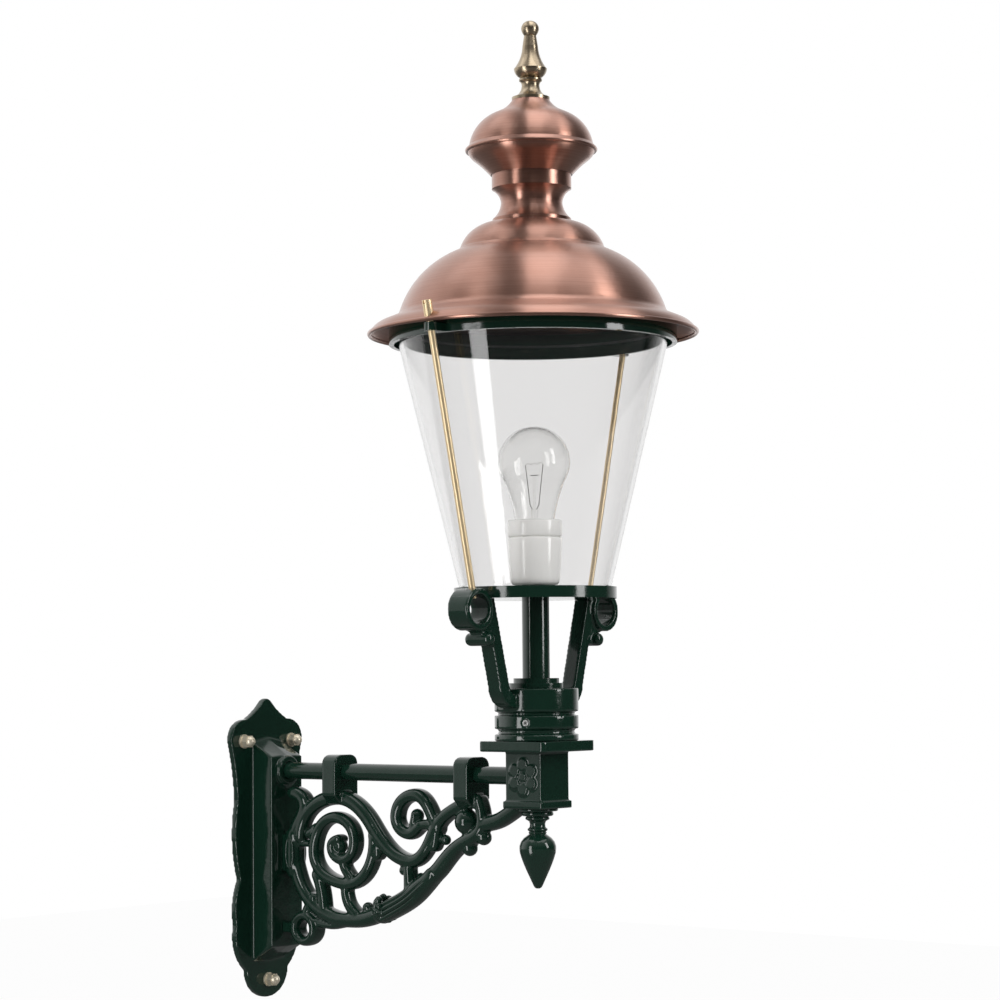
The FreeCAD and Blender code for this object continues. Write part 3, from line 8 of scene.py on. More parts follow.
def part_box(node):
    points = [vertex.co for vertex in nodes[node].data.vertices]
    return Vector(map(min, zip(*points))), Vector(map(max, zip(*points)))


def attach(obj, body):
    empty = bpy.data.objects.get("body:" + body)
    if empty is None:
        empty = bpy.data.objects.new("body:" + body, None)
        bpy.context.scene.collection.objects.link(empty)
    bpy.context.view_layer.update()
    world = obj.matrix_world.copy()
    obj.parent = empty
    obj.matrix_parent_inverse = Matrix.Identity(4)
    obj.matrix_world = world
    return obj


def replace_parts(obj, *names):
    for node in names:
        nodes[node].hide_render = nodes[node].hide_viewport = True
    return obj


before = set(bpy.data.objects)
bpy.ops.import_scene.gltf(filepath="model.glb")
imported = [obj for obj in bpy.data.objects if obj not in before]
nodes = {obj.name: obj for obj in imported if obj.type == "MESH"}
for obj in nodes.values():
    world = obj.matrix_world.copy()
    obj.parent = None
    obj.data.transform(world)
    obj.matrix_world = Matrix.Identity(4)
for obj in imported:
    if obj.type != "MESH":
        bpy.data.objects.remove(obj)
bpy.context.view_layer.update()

scene = bpy.context.scene
lampAxis = (0.0, -0.315)   # the lantern's upright axis, X and Y in metres
weldGap = 1e-6   # points nearer than this, in metres, become one
print("frame loaded:", len(nodes), "nodes")


# node helpers

def setSockets(node, values):
    for name, value in values.items():
        node.inputs[name].default_value = value


def feed(tree, socket, value):
    if isinstance(value, (int, float, tuple)):
        socket.default_value = value
    else:
        tree.links.new(value, socket)


def newMaterial(name):
    mat = bpy.data.materials.new(name)
    mat.use_nodes = True
    tree = mat.node_tree
    tree.nodes.clear()
    out = tree.nodes.new("ShaderNodeOutputMaterial")
    shader = tree.nodes.new("ShaderNodeBsdfPrincipled")
    tree.links.new(shader.outputs["BSDF"], out.inputs["Surface"])
    return mat, tree, shader, out.inputs["Surface"]


def newGroup(name, inputs, outputs):
    group = bpy.data.node_groups.new(name, "ShaderNodeTree")
    for label, value in inputs.items():
        socket = group.interface.new_socket(label, in_out="INPUT", socket_type="NodeSocketFloat")
        socket.default_value = value
    for label in outputs:
        group.interface.new_socket(label, in_out="OUTPUT", socket_type="NodeSocketFloat")
    return group, group.nodes.new("NodeGroupInput"), group.nodes.new("NodeGroupOutput")


def addGroup(tree, group, values):
    node = tree.nodes.new("ShaderNodeGroup")
    node.node_tree = group
    setSockets(node, values)
    return node


def addMath(tree, operation, first, second=None):
    node = tree.nodes.new("ShaderNodeMath")
    node.operation = operation
    feed(tree, node.inputs[0], first)
    if second is not None:
        feed(tree, node.inputs[1], second)
    return node.outputs[0]


def addNoise(tree, vector, scale, detail, rough=0.5):
    node = tree.nodes.new("ShaderNodeTexNoise")
    setSockets(node, {"Detail": detail, "Roughness": rough})
    tree.links.new(vector, node.inputs["Vector"])
    feed(tree, node.inputs["Scale"], scale)
    return node.outputs["Fac"]


def addMix(tree, factor, first, second):
    node = tree.nodes.new("ShaderNodeMix")
    node.data_type = "RGBA"
    tree.links.new(factor, node.inputs["Factor"])
    feed(tree, node.inputs[6], first)   # the mix node's pair of colour sockets
    feed(tree, node.inputs[7], second)
    return node.outputs[2]


def addRange(tree, value, span, target):
    node = tree.nodes.new("ShaderNodeMapRange")
    setSockets(node, {"From Min": span[0], "From Max": span[1], "To Min": target[0], "To Max": target[1]})
    tree.links.new(value, node.inputs["Value"])
    return node.outputs["Result"]


def addBump(tree, shader, height, strength, depth):
    bump = tree.nodes.new("ShaderNodeBump")
    setSockets(bump, {"Strength": strength, "Distance": depth})
    tree.links.new(height, bump.inputs["Height"])
    tree.links.new(bump.outputs["Normal"], shader.inputs["Normal"])
    return bump


def mixShaders(tree, factor, first, second, surface):
    mix = tree.nodes.new("ShaderNodeMixShader")
    for socket, source in zip(mix.inputs, (factor, first, second)):
        tree.links.new(source, socket)
    tree.links.new(mix.outputs["Shader"], surface)


# seen straight on or through clear glass, not by a bounce
def plainSight(tree):
    rays = tree.nodes.new("ShaderNodeLightPath")
    bounces = addMath(tree, "ADD", rays.outputs["Glossy Depth"], rays.outputs["Diffuse Depth"])
    unbounced = addMath(tree, "LESS_THAN", bounces, 0.5)
    through = addMath(tree, "MULTIPLY", rays.outputs["Is Transmission Ray"], unbounced)
    return rays, addMath(tree, "MAXIMUM", rays.outputs["Is Camera Ray"], through)


# fine turning lines that run round the lantern's axis, cloudy patches, and a mask for the painted shade
# inside a hood
spunLook = {"turnScale": 0.9, "lineDetail": 4.0, "lineRough": 0.65,
            "patchScale": 22.0, "patchDetail": 4.0, "patchRough": 0.6}


def makeSpunLines():
    group, enter, leave = newGroup("spunLines", {"Line Scale": 900.0, "Lining Reach": 0.0},
                                   ("Lines", "Patches", "Inside Shade"))
    coords = group.nodes.new("ShaderNodeTexCoord")
    place = group.nodes.new("ShaderNodeSeparateXYZ")
    group.links.new(coords.outputs["Object"], place.inputs[0])
    fromX = addMath(group, "SUBTRACT", place.outputs["X"], lampAxis[0])
    fromY = addMath(group, "SUBTRACT", place.outputs["Y"], lampAxis[1])
    around = addMath(group, "ARCTAN2", fromY, fromX)
    squareX = addMath(group, "MULTIPLY", fromX, fromX)
    squareY = addMath(group, "MULTIPLY", fromY, fromY)
    outwards = addMath(group, "SQRT", addMath(group, "ADD", squareX, squareY))
    lineScale = enter.outputs["Line Scale"]
    lineSpace = group.nodes.new("ShaderNodeCombineXYZ")
    for axis, value, scale in (("X", around, spunLook["turnScale"]), ("Y", place.outputs["Z"], lineScale),
                               ("Z", outwards, lineScale)):
        group.links.new(addMath(group, "MULTIPLY", value, scale), lineSpace.inputs[axis])
    lines = addNoise(group, lineSpace.outputs[0], 1.0, spunLook["lineDetail"], spunLook["lineRough"])
    patches = addNoise(group, coords.outputs["Object"], spunLook["patchScale"], spunLook["patchDetail"],
                       spunLook["patchRough"])
    # faces turned in towards the axis, within the reach, are masked for a dark colour that paints the shade
    # inside the hood
    faceWay = group.nodes.new("ShaderNodeSeparateXYZ")
    group.links.new(coords.outputs["Normal"], faceWay.inputs[0])
    outFacing = addMath(group, "ADD", addMath(group, "MULTIPLY", faceWay.outputs["X"], fromX),
                        addMath(group, "MULTIPLY", faceWay.outputs["Y"], fromY))
    turnedIn = addMath(group, "LESS_THAN", outFacing, 0.0)
    within = addMath(group, "LESS_THAN", outwards, enter.outputs["Lining Reach"])
    insideShade = addMath(group, "MULTIPLY", turnedIn, within)
    for label, value in (("Lines", lines), ("Patches", patches), ("Inside Shade", insideShade)):
        group.links.new(value, leave.inputs[label])
    return group


# skin of a sand casting under paint: soft waves, small pits and a little dust
castLook = {"waveDetail": 2.0, "pitDetail": 2.0, "pitShare": 0.12,
            "dustScale": 34.0, "dustDetail": 6.0, "dustRough": 0.7}


def makeCastSkin():
    group, enter, leave = newGroup("castSkin", {"Wave Scale": 90.0, "Pit Scale": 700.0}, ("Height", "Dust"))
    coords = group.nodes.new("ShaderNodeTexCoord").outputs["Object"]
    waves = addNoise(group, coords, enter.outputs["Wave Scale"], castLook["waveDetail"])
    pits = addNoise(group, coords, enter.outputs["Pit Scale"], castLook["pitDetail"])
    height = addMath(group, "ADD", waves, addMath(group, "MULTIPLY", pits, castLook["pitShare"]))
    dust = addNoise(group, coords, castLook["dustScale"], castLook["dustDetail"], castLook["dustRough"])
    group.links.new(height, leave.inputs["Height"])
    group.links.new(dust, leave.inputs["Dust"])
    return group


spunGroup = makeSpunLines()
castGroup = makeCastSkin()
print("shared effects ready")


# materials

paintLook = {"deep": (0.004, 0.0185, 0.0112, 1), "light": (0.006, 0.026, 0.0162, 1), "coat": 0.4, "ior": 1.5,
             "waves": 85.0, "pits": 800.0, "dust": (0.3, 0.75), "rough": (0.07, 0.17),
             "bump": 0.18, "bumpDepth": 0.0012, "edge": 0.0006, "edgeSamples": 4}


def makePaint(name, look):
    mat, tree, shader = newMaterial(name)[:3]
    setSockets(shader, {"IOR": look["ior"], "Coat IOR": look["ior"], "Coat Weight": look["coat"],
                        "Coat Roughness": 0.05})
    skin = addGroup(tree, castGroup, {"Wave Scale": look["waves"], "Pit Scale": look["pits"]})
    dust = skin.outputs["Dust"]
    tree.links.new(addMix(tree, dust, look["deep"], look["light"]), shader.inputs["Base Color"])
    tree.links.new(addRange(tree, dust, look["dust"], look["rough"]), shader.inputs["Roughness"])
    soft = tree.nodes.new("ShaderNodeBevel")   # paint rounds every edge a little
    soft.samples = look["edgeSamples"]
    soft.inputs["Radius"].default_value = look["edge"]
    bump = addBump(tree, shader, skin.outputs["Height"], look["bump"], look["bumpDepth"])
    tree.links.new(soft.outputs["Normal"], bump.inputs["Normal"])
    return mat


spunTone = {"lines": 0.6, "patches": 0.4, "colourSpan": (0.3, 0.7), "roughSpan": (0.25, 0.75),
            "bumpDepth": 0.0003}


def makeSpun(name, look):
    mat, tree, shader = newMaterial(name)[:3]
    setSockets(shader, {"Metallic": 1.0, "Anisotropic": look["drag"], "Anisotropic Rotation": 0.25,
                        "Coat Weight": look["lacquer"], "Coat Roughness": 0.22})
    spun = addGroup(tree, spunGroup, {"Line Scale": look["lineScale"], "Lining Reach": look["insideShade"]})
    tone = addMath(tree, "ADD", addMath(tree, "MULTIPLY", spun.outputs["Lines"], spunTone["lines"]),
                   addMath(tree, "MULTIPLY", spun.outputs["Patches"], spunTone["patches"]))
    shine = addRange(tree, tone, spunTone["colourSpan"], (0.0, 1.0))
    metal = addMix(tree, shine, look["dark"], look["bright"])
    # inside the hood the metal colour gives way to a dark colour that paints the shade there
    tree.links.new(addMix(tree, spun.outputs["Inside Shade"], metal, look["paintedShade"]), shader.inputs["Base Color"])
    tree.links.new(addRange(tree, tone, spunTone["roughSpan"], look["rough"]), shader.inputs["Roughness"])
    addBump(tree, shader, spun.outputs["Lines"], look["bump"], spunTone["bumpDepth"])
    return mat


def makeGlass(name, look):
    mat, tree, shader, surface = newMaterial(name)
    setSockets(shader, {"Roughness": look["rough"], "IOR": look["ior"], "Transmission Weight": 1.0})
    edge = tree.nodes.new("ShaderNodeLayerWeight")
    edge.inputs["Blend"].default_value = 0.5
    deepen = addRange(tree, edge.outputs["Facing"], (look["edgeFrom"], 1.0), (0.0, 1.0))
    tree.links.new(addMix(tree, deepen, look["colour"], look["edge"]), shader.inputs["Base Color"])
    clear = tree.nodes.new("ShaderNodeBsdfTransparent")   # light goes on through to what stands behind
    clear.inputs["Color"].default_value = look["shade"]
    rays = tree.nodes.new("ShaderNodeLightPath")
    both = addMath(tree, "MAXIMUM", rays.outputs["Is Shadow Ray"], rays.outputs["Is Diffuse Ray"])
    mixShaders(tree, both, shader.outputs["BSDF"], clear.outputs["BSDF"], surface)
    return mat


cloudLook = {"detail": 5.0, "rough": 0.6, "span": (0.3, 0.7), "bumpDepth": 0.0004}


def makePlain(name, look):
    mat, tree, shader = newMaterial(name)[:3]
    setSockets(shader, {"Metallic": look["metal"], "Coat Weight": look["coat"], "Coat Roughness": 0.05})
    coords = tree.nodes.new("ShaderNodeTexCoord")
    cloud = addNoise(tree, coords.outputs["Object"], look["scale"], cloudLook["detail"], cloudLook["rough"])
    tree.links.new(addMix(tree, cloud, look["dark"], look["bright"]), shader.inputs["Base Color"])
    tree.links.new(addRange(tree, cloud, cloudLook["span"], look["rough"]), shader.inputs["Roughness"])
    addBump(tree, shader, cloud, look["bump"], cloudLook["bumpDepth"])
    return mat


greenPaint = makePaint("greenPaint", paintLook)
# the copper's near-black inside colour, out to 0.125 m from the axis, is painted shade inside the hood
copper = makeSpun("brushedCopper", {
    "dark": (0.39, 0.19, 0.138, 1), "bright": (0.55, 0.305, 0.235, 1), "rough": (0.28, 0.37), "bump": 0.3,
    "lineScale": 1500.0, "drag": 0.93, "lacquer": 0.5, "insideShade": 0.125, "paintedShade": (0.065, 0.034, 0.025, 1)})
paleBrass = makeSpun("paleBrass", {
    "dark": (0.36, 0.28, 0.185, 1), "bright": (0.56, 0.465, 0.335, 1), "rough": (0.24, 0.36), "bump": 0.2,
    "lineScale": 1800.0, "drag": 0.4, "lacquer": 0.2, "insideShade": 0.0, "paintedShade": (0.05, 0.04, 0.03, 1)})
goldBrass = makePlain("goldBrass", {
    "dark": (0.84, 0.63, 0.36, 1), "bright": (0.94, 0.78, 0.52, 1), "rough": (0.36, 0.48), "bump": 0.1,
    "scale": 260.0, "metal": 0.8, "coat": 0.0})
creamBrass = makePlain("creamBrass", {
    "dark": (0.86, 0.75, 0.56, 1), "bright": (0.95, 0.88, 0.73, 1), "rough": (0.34, 0.46), "bump": 0.1,
    "scale": 260.0, "metal": 0.75, "coat": 0.2})
steel = makePlain("plainSteel", {
    "dark": (0.5, 0.5, 0.49, 1), "bright": (0.66, 0.66, 0.65, 1), "rough": (0.22, 0.38), "bump": 0.15,
    "scale": 320.0, "metal": 1.0, "coat": 0.0})
porcelain = makePlain("porcelain", {
    "dark": (0.89, 0.88, 0.855, 1), "bright": (0.93, 0.925, 0.905, 1), "rough": (0.1, 0.18), "bump": 0.04,
    "scale": 60.0, "metal": 0.0, "coat": 0.4})
rubber = makePlain("gasketRubber", {
    "dark": (0.018, 0.018, 0.018, 1), "bright": (0.035, 0.035, 0.034, 1), "rough": (0.6, 0.8), "bump": 0.3,
    "scale": 900.0, "metal": 0.0, "coat": 0.0})
tungsten = makePlain("tungsten", {
    "dark": (0.22, 0.21, 0.2, 1), "bright": (0.36, 0.35, 0.33, 1), "rough": (0.35, 0.5), "bump": 0.1,
    "scale": 2000.0, "metal": 1.0, "coat": 0.0})
shadeGlass = makeGlass("shadeGlass", {
    "colour": (0.923, 0.919, 0.917, 1), "edge": (0.5, 0.5, 0.5, 1), "edgeFrom": 0.84,
    "rough": 0.0, "ior": 1.45, "shade": (0.98, 0.98, 0.98, 1)})
bulbGlass = makeGlass("bulbGlass", {
    "colour": (0.985, 0.985, 0.98, 1), "edge": (0.82, 0.82, 0.81, 1), "edgeFrom": 0.75,
    "rough": 0.0, "ior": 1.4, "shade": (0.96, 0.96, 0.95, 1)})

# what is not listed, screws and nuts for the most part, is plain steel
finishes = (
    (greenPaint, ("wall_plate", "arm_tube", "scroll_bracket", "head_block", "drop_finial", "lantern_fork",
                  "stem_tube", "stem_flange", "lower_dish", "upper_ring")),
    (copper, ("hood_dome", "hood_neck", "onion_lower", "onion_upper")),
    (paleBrass, ("top_finial",)),
    (creamBrass, ("wall_washers", "wall_cap_nuts")),
    (goldBrass, ("tie_rod_left", "tie_rod_right", "rod_slotted_nuts", "holder_nipple", "holder_sleeve",
                 "holder_contact")),
    (shadeGlass, ("glass_shade",)),
    (bulbGlass, ("lamp_envelope", "lamp_mount")),
    (porcelain, ("holder_cup", "holder_collar")),
    (rubber, ("lower_gasket", "upper_gasket")),
    (tungsten, ("lamp_filament", "lamp_leads")))
finishOf = {name: material for material, names in finishes for name in names}
for name, node in nodes.items():
    node.data.materials.clear()
    node.data.materials.append(finishOf.get(name, steel))
print("materials on", len(nodes), "nodes")


# pieces

def addPiece(name, mesh, material):
    mesh.name = name
    piece = bpy.data.objects.new(name, mesh)
    scene.collection.objects.link(piece)
    mesh.materials.clear()
    mesh.materials.append(material)
    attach(piece, "root")
    return piece


def meshFrom(name, verts, edges, faces):
    mesh = bpy.data.meshes.new(name)
    mesh.from_pydata(verts, edges, faces)
    return mesh


def helperObject(mesh):
    helper = bpy.data.objects.new(mesh.name, mesh)
    scene.collection.objects.link(helper)
    return helper


def takeResult(helper):
    graph = bpy.context.evaluated_depsgraph_get()
    result = bpy.data.meshes.new_from_object(helper.evaluated_get(graph))
    bpy.data.objects.remove(helper)
    return result


def addPrism(verts, faces, section, low, high):
    base = len(verts)
    count = len(section)
    for y in (low, high):
        verts.extend(Vector((x / 1000, y / 1000, z / 1000)) for x, z in section)
    faces.append(tuple(range(base, base + count)))
    faces.append(tuple(range(base + 2 * count - 1, base + count - 1, -1)))
    for step in range(count):
        following = (step + 1) % count
        faces.append((base + step, base + count + step, base + count + following, base + following))


# the sand mould rounds every edge: voxels join the forms, and smoothing takes the corners off
def softened(mesh, voxel, passes):
    rough = helperObject(mesh)
    remesh = rough.modifiers.new("voxels", "REMESH")
    remesh.mode = "VOXEL"
    remesh.voxel_size = voxel
    remesh.use_smooth_shade = True
    smooth = rough.modifiers.new("soften", "SMOOTH")
    smooth.factor = 0.5
    smooth.iterations = passes
    return takeResult(rough)


# castings: a softened copy stands for each solid
castings = {
    "lantern_fork": {"voxel": 0.001, "passes": 3},
    "head_block": {"voxel": 0.0008, "passes": 4},
    "wall_plate": {"voxel": 0.001, "passes": 3}}

# webs in the corner between a fork arm, its eye and its roll: outline in X and Z, then reach in Y, in mm
forkWeb = {"outline": [(62, 82), (73, 89), (84, 95), (78, 101), (66, 104), (60, 100)],
           "low": -321.5, "high": -308.5}


def forkWebs():
    verts, faces = [], []
    for side in (1, -1):
        outline = [(side * x, z) for x, z in forkWeb["outline"]]
        addPrism(verts, faces, outline[::side], forkWeb["low"], forkWeb["high"])
    return meshFrom("forkWebs", verts, [], faces)


def softCasting(name, look):
    mesh = nodes[name].data.copy()
    build = bmesh.new()
    build.from_mesh(mesh)
    bmesh.ops.remove_doubles(build, verts=build.verts, dist=weldGap)
    if name == "lantern_fork":
        build.from_mesh(forkWebs())
    build.to_mesh(mesh)
    build.free()
    result = softened(mesh, look["voxel"], look["passes"])
    piece = addPiece(name + "_cast", result, greenPaint)
    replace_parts(piece, name)
    print("casting", name, len(result.polygons), "faces")


for name, look in castings.items():
    softCasting(name, look)


# scroll bracket: the same strokes as the solid, drawn on its grid of hundredths, but moulded full and round.
# A stroke is its nodes (column, row, heading in degrees), the width at each node and the thickness, in mm
scrollStrokes = [
    ([(7, 38, 88), (24, 14.6, 0), (39.2, 29.4, -52), (56, 49, 0), (66.2, 31.6, 62), (80.5, 14.5, 25)],
     [10, 12, 12.6, 10.6, 10, 10], 14),
    ([(40.3, 38, -88), (28.2, 63.8, 180), (13.4, 46, 90), (23.2, 26.2, 0), (31.6, 39.2, -90),
      (26.3, 50.2, 180), (21.5, 43, 90), (24.4, 38.6, 10)], [9.4, 9.6, 9.6, 9.2, 8.8, 8.4, 8, 7.4], 14),
    ([(26.6, 51.2, -82), (28.4, 57.4, -48), (30.4, 63.4, -85)], [7.4, 8, 9], 13),
    ([(67.5, 30, 122), (58, 12, 180), (50, 24.6, -90), (55.5, 33.6, 0), (60.4, 29, 35)],
     [9.6, 10, 10.4, 9.6, 8], 14),
    ([(59.4, 29.8, 25), (67, 29, -15)], [7.6, 8], 13),
    ([(58.2, 23.5, -100), (57.2, 31.5, -100)], [6, 7.4], 13),
    ([(4.2, 13, -5), (9.2, 20, -90), (5, 35, -105), (3.9, 47.5, -90), (6.2, 62, -68), (22.2, 83.6, -12),
      (31.2, 84.3, 2), (44.6, 78, 25)], [11, 12, 12, 13, 12, 12, 12, 13], 14),
    ([(3.9, 38, -92), (3.9, 57, -88)], [14, 14], 16),
    ([(11.5, 36, 20), (14.5, 33, 40)], [8, 9], 13),
    ([(6, 42, 0), (13.2, 42, 0)], [4.5, 4.5], 8),
    ([(14.8, 60, -60), (17.5, 78, -85)], [10, 11], 13),
    ([(27.6, 65.5, -98), (28.2, 73, -70), (32.2, 81, -35)], [7.6, 8, 9], 13),
    ([(12.5, 86, -22), (20, 88.2, -4), (29, 87, 4)], [7, 5.5, 3], 11),
    ([(43.6, 79.2, 24), (57.9, 66.4, 38), (65, 56.6, 44)], [17, 17, 13], 17),
    ([(56, 67.4, 38), (69, 50.8, 47), (79.5, 36.6, 22), (86.2, 26, 85), (84.8, 14, 113)],
     [13, 13, 11, 9, 8.8], 14),
    ([(55, 51.5, -85), (55.3, 64, -90)], [8, 9], 13),
    ([(39.8, 36, -70), (41.6, 46, -100)], [8, 10], 13),
    ([(67.2, 31, -100), (66, 40, -120)], [8, 9], 13),
    ([(86.5, 27, 8), (94.4, 23.2, 27), (103, 14.2, 33)], [11.6, 11.8, 11.8], 14),
    ([(10, 82, 75), (13, 73.5, 70)], [9, 9], 13)]

# balls that end or fill the curls: column, row, and radius in mm
scrollBalls = [(24.6, 42.6, 6.4), (58.2, 23.5, 6), (36.6, 77, 5.3), (52.4, 54.6, 4.6), (59.6, 58, 4.2),
               (70.2, 36.5, 4.6), (79.2, 26, 11), (80.2, 40.5, 6.8), (86, 34.2, 6.8)]

# the grid runs from the face of the plate's box and from the arm's axis, in mm; swell and fatten are added
# to each stroke's width and thickness, and the voxel is in metres
scrollSize = {"face": 30.0, "span": 264.5, "arm": -26.25, "drop": 152.0, "swell": 1.6, "fatten": 1.4,
              "steps": 14, "leastBend": 0.02, "ballDetail": 3, "voxel": 0.00095, "passes": 3}

# section of a bar, with caps as (distance past the end, size), and how deep its ends stay
barLook = {"fullness": 2.6, "around": 18, "caps": [(0.95, 0.31), (0.7, 0.71), (0.35, 0.94)], "endDepth": 0.6}

# eye at the heel: its place on the grid, then metres
heelEye = {"at": (9.4, 90.8), "radius": 0.0113, "half": 0.0045, "depth": 0.009, "steps": 40}

# straps over the arm: one side of the section in X and Z from the arm's axis, in mm
strapLook = {"columns": (24.2, 80.9), "half": 8, "tail": [(-7, -28), (7, -28)],
             "side": [(15, -20), (15, 6), (14.2, 10), (12, 13), (9, 14.6), (6, 15)]}

# feet on the plate: half width, the upper one's ends below the arm and the heel's half height, in mm
footLook = {"half": 7, "upper": (-88, -56), "upperColumn": 3.9, "heelHalf": 4.5, "heelColumn": 4.5}


def gridPoint(column, row):
    return Vector((0.0, -(scrollSize["face"] + column * scrollSize["span"] / 100) / 1000,
                   (scrollSize["arm"] - row * scrollSize["drop"] / 100) / 1000))


def gridWay(degrees):
    return Vector((0.0, -math.cos(math.radians(degrees)), math.sin(math.radians(degrees))))


def leftOf(way):
    return Vector((0.0, -way.z, way.y))


# points, headings and half widths along a smooth curve through the nodes
def strokePath(stops, widths, steps):
    path = []
    for index in range(len(stops) - 1):
        start, end = gridPoint(*stops[index][:2]), gridPoint(*stops[index + 1][:2])
        way, last = gridWay(stops[index][2]), gridWay(stops[index + 1][2])
        bend = max(way.angle(last), scrollSize["leastBend"])
        pull = (end - start).length * 2 * math.tan(bend / 4) / math.sin(bend / 2)
        for step in range(steps + (index == len(stops) - 2)):
            t = step / steps
            point = (start * (2 * t ** 3 - 3 * t ** 2 + 1) + way * pull * (t ** 3 - 2 * t ** 2 + t)
                     + end * (3 * t ** 2 - 2 * t ** 3) + last * pull * (t ** 3 - t ** 2))
            slope = ((start - end) * (6 * t ** 2 - 6 * t) + way * pull * (3 * t ** 2 - 4 * t + 1)
                     + last * pull * (3 * t ** 2 - 2 * t))
            width = widths[index] + (widths[index + 1] - widths[index]) * (3 * t ** 2 - 2 * t ** 3)
            path.append((point, slope.normalized(), width / 2000))
    return path


def addBar(verts, faces, path, depth):
    around, endDepth, power = barLook["around"], barLook["endDepth"], 2 / barLook["fullness"]
    (tail, tailWay, tailHalf), (tip, tipWay, tipHalf) = path[0], path[-1]
    rings = [(tail - tailWay * tailHalf * out, tailWay, tailHalf * size, size)
             for out, size in barLook["caps"]]
    rings += [(point, way, half, 1.0) for point, way, half in path]
    rings += [(tip + tipWay * tipHalf * out, tipWay, tipHalf * size, size)
              for out, size in reversed(barLook["caps"])]
    base = len(verts)
    for point, way, half, size in rings:
        for step in range(around):
            angle = 2 * math.pi * step / around
            c, s = math.cos(angle), math.sin(angle)
            across = math.copysign(abs(c) ** power, c) * half
            deep = math.copysign(abs(s) ** power, s) * depth * (endDepth + (1 - endDepth) * size)
            verts.append(point + leftOf(way) * across + Vector((deep, 0.0, 0.0)))
    for ring in range(len(rings) - 1):
        for step in range(around):
            a, b = base + ring * around + step, base + ring * around + (step + 1) % around
            faces.append((a, b, b + around, a + around))
    faces.append(tuple(range(base + around - 1, base - 1, -1)))
    faces.append(tuple(range(len(verts) - around, len(verts))))


def addBall(verts, faces, centre, radius):
    ball = bmesh.new()
    bmesh.ops.create_icosphere(ball, subdivisions=scrollSize["ballDetail"], radius=radius)
    ball.verts.ensure_lookup_table()
    base = len(verts)
    verts.extend(vert.co + centre for vert in ball.verts)
    faces.extend(tuple(base + vert.index for vert in face.verts) for face in ball.faces)
    ball.free()


def addHeelEye(verts, faces, heel):
    loop = []
    for step in range(heelEye["steps"] + 1):
        angle = 2 * math.pi * step / heelEye["steps"]
        spoke = Vector((0.0, math.cos(angle), math.sin(angle)))
        loop.append((heel + spoke * heelEye["radius"], leftOf(spoke), heelEye["half"]))
    addBar(verts, faces, loop, heelEye["depth"])


def addStraps(verts, faces):
    side = [(x, scrollSize["arm"] + z) for x, z in strapLook["side"]]
    section = side + [(-x, z) for x, z in reversed(side)]
    section += [(x, scrollSize["arm"] + z) for x, z in strapLook["tail"]]
    for column in strapLook["columns"]:
        y = gridPoint(column, 0).y * 1000
        addPrism(verts, faces, section, y - strapLook["half"], y + strapLook["half"])


def addFeet(verts, faces, heel):
    half, heelZ = footLook["half"], heel.z * 1000
    upperLow, upperHigh = (scrollSize["arm"] + z for z in footLook["upper"])
    feet = ((upperLow, upperHigh, footLook["upperColumn"]),
            (heelZ - footLook["heelHalf"], heelZ + footLook["heelHalf"], footLook["heelColumn"]))
    for low, high, column in feet:
        section = [(-half, low), (half, low), (half, high), (-half, high)]
        addPrism(verts, faces, section, -scrollSize["face"], gridPoint(column, 0).y * 1000)


def buildScroll():
    verts, faces = [], []
    for stops, widths, thick in scrollStrokes:
        path = strokePath(stops, [width + scrollSize["swell"] for width in widths], scrollSize["steps"])
        addBar(verts, faces, path, (thick + scrollSize["fatten"]) / 2000)
    for column, row, radius in scrollBalls:
        addBall(verts, faces, gridPoint(column, row), radius / 1000)
    heel = gridPoint(*heelEye["at"])
    addHeelEye(verts, faces, heel)
    addStraps(verts, faces)
    addFeet(verts, faces, heel)
    mesh = meshFrom("scrollRough", verts, [], faces)
    result = softened(mesh, scrollSize["voxel"], scrollSize["passes"])
    piece = addPiece("scroll_bracket_cast", result, greenPaint)
    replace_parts(piece, "scroll_bracket")
    print("scroll bracket", len(result.polygons), "faces")


buildScroll()


